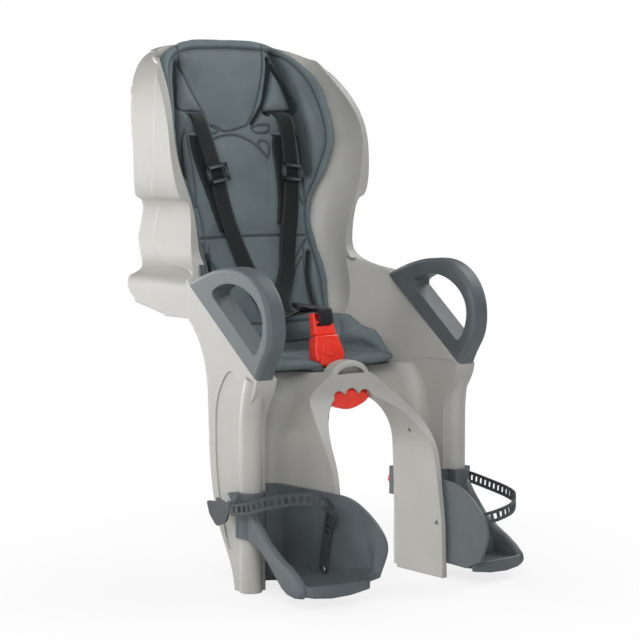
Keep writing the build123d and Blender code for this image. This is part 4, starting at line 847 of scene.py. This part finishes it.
def stitchLines():
    mesh = bpy.data.meshes.new("stitchLines")
    points, edges = [], []
    for inset in stitch["insets"]:
        right = insetLine(backEdge, inset)
        for side in (1, -1):
            last = None
            for p in right:
                hit, normal = frontHit(cushionTree, side * p.x, p.z)
                if hit is None or (last is not None and (hit - points[last]).length > stitch["jump"]):
                    last = None
                    continue
                points.append(hit + normal * stitch["clear"])
                if last is not None:
                    edges.append((last, len(points) - 1))
                last = len(points) - 1
    mesh.from_pydata(points, edges, [])
    return mesh


# dull polyester sewing thread, a little darker than the cloth
sewingThread = mouldedPlastic("polyesterThreadSlate", {
    "colour": "#465155", "shade": "#3E484C", "rough": 0.7, "ior": 1.5, "specular": 0.25,
    "grainMm": 0.6, "cloudMm": 6, "bump": 0.1, "edgeMm": 0.1})
threads = addObject("borderStitches", stitchLines(), sewingThread)
sewing = threads.modifiers.new("sewing", "NODES")
sewing.node_group = stitchGroup()
for socket in sewing.node_group.interface.items_tree:
    if socket.in_out == "INPUT" and socket.name in ("Pitch", "Length", "Radius", "Thread"):
        sewing[socket.identifier] = sewingThread if socket.name == "Thread" else stitch[socket.name.lower()]
sewn = evaluatedMesh(threads)
threads.modifiers.clear()
threads.data = sewn
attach(threads, "seat")
print("stitches", len(sewn.polygons), "faces")


# foot straps: ladder bands of soft rubber with a tab at the outer end

ladder = {"height": 16 * mm, "thickness": 2.4 * mm, "slotHeight": 8.0 * mm, "pitch": 9.6 * mm,
          "slotLength": 5.6 * mm,
          "first": 40 * mm, "last": 52 * mm, "perSpan": 24, "leads": 14, "tails": 10, "steep": 0.6,
          "turnPasses": 12,
          "tab": [(-138, -82), (-82, -86), (-89, -104), (-106, -118), (-128, -109)], "tabRound": 5,
          "tabHalf": 1.4}


def ladderBand(name, route, tabX):
    path = smoothPath(route, ladder["perSpan"])
    lengths = [0.0]
    for a, b in zip(path, path[1:]):
        lengths.append(lengths[-1] + (b - a).length)
    total = lengths[-1]

    def at(d):
        k = 0
        while k < len(path) - 2 and lengths[k + 1] < d:
            k += 1
        f = (d - lengths[k]) / max(lengths[k + 1] - lengths[k], 1e-9)
        return path[k].lerp(path[k + 1], f), (path[k + 1] - path[k]).normalized()

    # stations at each slot's start and end and between them
    leads, tails = ladder["leads"], ladder["tails"]
    stations = [(d * total / leads, False) for d in range(leads + 1) if d * total / leads < ladder["first"]]
    d = ladder["first"]
    while d < total - ladder["last"]:
        stations += [(d, True), (d + ladder["slotLength"] / 2, True), (d + ladder["slotLength"], False),
                     (d + (ladder["slotLength"] + ladder["pitch"]) / 2, False)]
        d += ladder["pitch"]
    stations += [(d + (total - d) * k / tails, False) for k in range(tails + 1)]
    ups = []
    for d, _ in stations:
        along = at(d)[1]
        up = Vector((0, 0, 1)) - along * along.z
        if abs(along.z) > ladder["steep"]:
            up = Vector((0, -1, 0)) - along * -along.y
        ups.append(up.normalized())
    # the upright side of the band turns smoothly from one run to the next
    for k in range(ladder["turnPasses"]):
        inner = [(a + b + c).normalized() for a, b, c in zip(ups, ups[1:], ups[2:])]
        ups = [ups[0]] + inner + [ups[-1]]
    edit = bmesh.new()
    grid = []
    slotShare = 0.5 * ladder["slotHeight"] / ladder["height"]
    for (d, _), up in zip(stations, ups):
        p, along = at(d)
        up = (up - along * up.dot(along)).normalized()
        out = along.cross(up).normalized()
        column = []
        for side in (1, -1):
            for share in (-0.5, -slotShare, slotShare, 0.5):
                corner = p + up * share * ladder["height"] + out * side * ladder["thickness"] / 2
                column.append(edit.verts.new(corner))
        grid.append(column)
    for k, (a, b) in enumerate(zip(grid, grid[1:])):
        openSlot = stations[k][1]
        for side in (0, 4):
            for c in range(3):
                if c == 1 and openSlot:
                    continue
                edit.faces.new((a[side + c], a[side + c + 1], b[side + c + 1], b[side + c]))
        edit.faces.new((a[0], b[0], b[4], a[4]))
        edit.faces.new((a[3], a[7], b[7], b[3]))
        if openSlot:
            edit.faces.new((a[1], b[1], b[5], a[5]))
            edit.faces.new((a[2], a[6], b[6], b[2]))
            if k == 0 or not stations[k - 1][1]:
                edit.faces.new((a[1], a[5], a[6], a[2]))
            if not stations[k + 1][1]:
                edit.faces.new((b[1], b[2], b[6], b[5]))
    for column in (grid[0], grid[-1]):
        for c in range(3):
            edit.faces.new((column[c], column[c + 1], column[c + 5], column[c + 4]))
    # rounded tab plate under the outer end
    corners = ladder["tab"]
    rim = []
    for k, (y, z) in enumerate(corners):
        before, after = Vector(corners[k - 1]), Vector(corners[(k + 1) % len(corners)])
        here = Vector((y, z))
        a = here + (before - here).normalized() * ladder["tabRound"]
        b = here + (after - here).normalized() * ladder["tabRound"]
        for t in (0, 0.25, 0.5, 0.75, 1):
            rim.append((1 - t) ** 2 * a + 2 * t * (1 - t) * here + t * t * b)
    plates = []
    for x in (tabX - ladder["tabHalf"], tabX + ladder["tabHalf"]):
        plates.append([edit.verts.new(Vector((x, q.x, q.y)) * mm) for q in rim])
    edit.faces.new(plates[0])
    edit.faces.new(plates[1])
    for k in range(len(rim)):
        n = (k + 1) % len(rim)
        edit.faces.new((plates[0][k], plates[0][n], plates[1][n], plates[1][k]))
    bmesh.ops.recalc_face_normals(edit, faces=edit.faces)
    return addObject(name, meshFrom(edit, name), strapRubber)


leftBand = ladderBand("footBandLeft", [
    (-206, -104, -87), (-206, -128, -91), (-203, -165, -87), (-192, -205, -75), (-165, -237, -68),
    (-134, -246, -75),
    (-111, -231, -92), (-102, -214, -112), (-100.5, -205, -142), (-100.5, -200, -172)], -206)
rightBand = ladderBand("footBandRight", [
    (206, -104, -87), (206, -137, -86), (206, -180, -91), (203, -226, -97), (190, -256, -101), (160, -283, -107),
    (125, -290, -113), (103, -272, -121), (99.5, -245, -130), (100.5, -215, -146), (100.5, -201, -172)], 206)
for piece, side in ((leftBand, "left"), (rightBand, "right")):
    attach(piece, "foot_" + side)
    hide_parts("foot_strap_" + side)
print("foot bands made")


# footrests: the solid's tray and outer wall give way to a level tray with a rolled front rim and a curved arm

sideAxes = (Vector((0, 1, 0)), Vector((0, 0, 1)), Vector((1, 0, 0)))
flatAxes = (Vector((1, 0, 0)), Vector((0, 1, 0)), Vector((0, 0, 1)))
tray = {
    "floor": [(105, -110), (112, -100), (125, -97.5), (138, -98.5), (148, -104), (153, -116), (154.5, -198),
              (162, -205),
              (174, -214), (184, -226), (189, -240), (190.5, -258), (188, -270), (178, -278), (150, -280),
              (96, -280),
              (89.5, -276), (97, -205)],
    "rim": [(87, -284), (91, -288), (120, -287.5), (150, -286), (176, -281.5), (188, -272), (192, -258),
            (191, -244),
            (185, -244), (185.8, -257), (183, -266.5), (174, -275), (150, -279.5), (120, -281), (93, -281.5)],
    "wall": [(152.5, -186), (160, -201), (171, -210), (181, -222), (186, -240), (190, -240), (185.5, -221),
             (174.5, -206.5),
             (163.5, -197.5), (157, -184)],
    "arm": [(-142, -74), (-160, -86), (-174, -104), (-198, -128), (-222, -143), (-245, -154), (-262, -164),
            (-274, -174),
            (-277, -184), (-270, -191), (-257, -192.5), (-240, -190), (-229, -184), (-216, -172), (-198, -155),
            (-181, -142),
            (-160, -134), (-142, -130)],
    "above": [(-146, -60), (-146, -138), (-168, -150), (-184, -166), (-200, -184), (-330, -184), (-330, -60)],
    "toe": [(98.6, -205), (89.8, -320), (230, -320), (230, -205)],
    "under": [(80, -330), (230, -330), (230, -96), (80, -96)],
    "floorLow": -184 * mm, "floorHigh": -179 * mm, "rimLow": -192.5 * mm, "rimHigh": -174.5 * mm,
    "armIn": 180.5 * mm, "armOut": 192 * mm, "wallHigh": -157 * mm, "rimRise": 5.5 * mm,
    "rimMiddle": 143, "rimHalf": 50, "wallFallX": 0.172, "wallFall": 1.2, "wallIn": 0.128, "wallOut": 0.162,
    "cutLow": -0.215, "cutHigh": -0.06, "plateEdge": 1.2 * mm, "rimEdge": 2.4 * mm, "armEdge": 4.5 * mm,
    "sharp": math.radians(28),
}


def mirrored(outline, sign):
    return [(sign * u, v) for u, v in outline]


def span(low, high, sign):
    return (low, high) if sign > 0 else (-high, -low)


def sidePlate(name, key, low, high, edge, sign):
    return bevelledPlate(name, tray[key], *span(low, high, sign), edge, gripPolypropylene, sideAxes, worldOrigin)


def planPlate(name, key, low, high, edge, sign):
    outline = mirrored(tray[key], sign)
    return bevelledPlate(name, outline, low, high, edge, gripPolypropylene, flatAxes, worldOrigin)


def armedFootrest(name, node, sign):
    piece = addObject(name, weldedCopy(node, name), gripPolypropylene)
    cutAway(piece, [
        sidePlate("cutSide", "above", tray["wallIn"], tray["wallOut"], cutEdge, sign),
        planPlate("cutPlan", "toe", tray["cutLow"], tray["cutHigh"], cutEdge, sign),
        planPlate("cutPlan", "under", tray["cutLow"], tray["floorLow"], cutEdge, sign)])
    floorPlate = planPlate("floorPlate", "floor", tray["floorLow"], tray["floorHigh"], tray["plateEdge"], sign)
    rimBand = planPlate("rimBand", "rim", tray["rimLow"], tray["rimHigh"], tray["rimEdge"], sign)
    armPlate = sidePlate("armPlate", "arm", tray["armIn"], tray["armOut"], tray["armEdge"], sign)
    wallBand = planPlate("wallBand", "wall", tray["floorLow"], tray["wallHigh"], tray["plateEdge"], sign)
    # the rim's lower edge rises towards both ends, and the wall falls away towards the heel
    for v in rimBand.data.vertices:
        if v.co.z < tray["floorLow"]:
            v.co.z += tray["rimRise"] * min(1.0, ((abs(v.co.x) / mm - tray["rimMiddle"]) / tray["rimHalf"]) ** 2)
    for v in wallBand.data.vertices:
        short = tray["wallFallX"] - abs(v.co.x)
        if v.co.z > tray["floorHigh"] and short > 0:
            v.co.z -= min(tray["wallFall"] * short, v.co.z - tray["floorHigh"])
    edit = bmesh.new()
    edit.from_mesh(piece.data)
    for other in (floorPlate, rimBand, armPlate, wallBand):
        edit.from_mesh(other.data)
        bpy.data.objects.remove(other)
    edit.to_mesh(piece.data)
    edit.free()
    for face in piece.data.polygons:
        face.use_smooth = True
    piece.data.set_sharp_from_angle(angle=tray["sharp"])
    return piece


for side, sign in (("Left", -1), ("Right", 1)):
    node = "footrest_" + side.lower()
    footrest = armedFootrest("footrest" + side, node, sign)
    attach(footrest, "foot_" + side.lower())
    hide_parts(node)
print("footrests trimmed")


# camera and studio

view = {"azimuth": -37.0, "pitch": 5.0, "target": (0.060, 0.020, 0.135), "distance": 3.168, "lens": 123.75,
        "sensor": 36.0}


def aim(piece, target):
    piece.rotation_euler = (Vector(target) - piece.location).to_track_quat("-Z", "Y").to_euler()


turn, rise = math.radians(view["azimuth"]), math.radians(view["pitch"])
camera = bpy.data.objects.new("photoCamera", bpy.data.cameras.new("photoCamera"))
scene.collection.objects.link(camera)
camera.data.sensor_width = view["sensor"]
camera.data.lens = view["lens"]
camera.location = Vector(view["target"]) + view["distance"] * Vector(
    (math.sin(turn) * math.cos(rise), -math.cos(turn) * math.cos(rise), math.sin(rise)))
aim(camera, view["target"])
scene.camera = camera

# each lamp's place, size and power
lampTarget = (0, -0.05, 0.15)
studio = {"key": ((-1.56, -1.61, 1.82), 1.6, 36.0), "left": ((-2.2, -0.05, 1.82), 1.6, 10.0),
          "right": ((2.2, -0.05, 1.82), 1.6, 44.0), "back": ((0.0, 2.74, 0.34), 1.6, 80.0),
          "leftBack": ((-1.97, 1.92, 0.34), 1.6, 44.0), "front": ((-1.0, -2.6, 0.2), 1.6, 18.0),
          "top": ((0.0, -0.05, 3.0), 1.6, 8.0)}
for name, (place, size, power) in studio.items():
    lamp = bpy.data.lights.new(name, "AREA")
    lamp.size = size
    lamp.energy = power
    lampObject = bpy.data.objects.new(name, lamp)
    scene.collection.objects.link(lampObject)
    lampObject.location = place
    aim(lampObject, lampTarget)

world = bpy.data.worlds.new("studioWorld")
scene.world = world
world.use_nodes = True
worldTree = world.node_tree
worldTree.nodes.clear()
rays = addNode(worldTree, "ShaderNodeLightPath")
seen = addNode(worldTree, "ShaderNodeMath", {"operation": "ADD", "use_clamp": True},
               {0: rays.outputs["Is Camera Ray"], 1: rays.outputs["Is Transmission Ray"]})
light = addNode(worldTree, "ShaderNodeBackground", {"Color": linear("#F4F6F8"), "Strength": 0.05})
paper = addNode(worldTree, "ShaderNodeBackground", {"Color": (1, 1, 1, 1), "Strength": 1.0})
both = addNode(worldTree, "ShaderNodeMixShader", {}, {0: seen.outputs["Value"], 1: light.outputs["Background"],
                                                       2: paper.outputs["Background"]})
addNode(worldTree, "ShaderNodeOutputWorld", {}, {"Surface": both.outputs["Shader"]})

floorMesh = bpy.data.meshes.new("studioFloor")
floorHalf, floorZ = 6.0, cadBox[0][2] - 1 * mm
floorCorners = [(floorHalf * x, floorHalf * y, floorZ) for x, y in ((-1, -1), (1, -1), (1, 1), (-1, 1))]
floorMesh.from_pydata(floorCorners, [], [(0, 1, 2, 3)])
# white paper that glows for the camera
paperWhite, floorTree, floorOutput = newMaterial("studioPaper")
bright = addNode(floorTree, "ShaderNodeEmission", {"Color": (1, 1, 1, 1), "Strength": 1.0})
matt = addNode(floorTree, "ShaderNodeBsdfDiffuse", {"Color": linear("#E8E8E8")})
floorRays = addNode(floorTree, "ShaderNodeLightPath")
# the paper keeps a soft shadow under the seat and runs out to plain white around it
floorPlace = addNode(floorTree, "ShaderNodeTexCoord").outputs["Object"]
reach = addNode(floorTree, "ShaderNodeVectorMath", {"operation": "LENGTH"}, {0: floorPlace})
plain = addNode(floorTree, "ShaderNodeMapRange", {"interpolation_type": "SMOOTHSTEP", "From Min": 0.3,
    "From Max": 0.75,
                                             "To Min": 0.8, "To Max": 1.0}, {"Value": reach.outputs["Value"]})
glow = addNode(floorTree, "ShaderNodeMixShader", {}, {0: plain.outputs["Result"], 1: matt.outputs["BSDF"],
                                                 2: bright.outputs["Emission"]})
floorShade = addNode(floorTree, "ShaderNodeMixShader", {},
                     {0: floorRays.outputs["Is Camera Ray"], 1: matt.outputs["BSDF"],
                                                       2: glow.outputs["Shader"]})
floorTree.links.new(floorShade.outputs["Shader"], floorOutput.inputs["Surface"])
floor = addObject("studioFloor", floorMesh, paperWhite)
scene.view_settings.view_transform = "Standard"
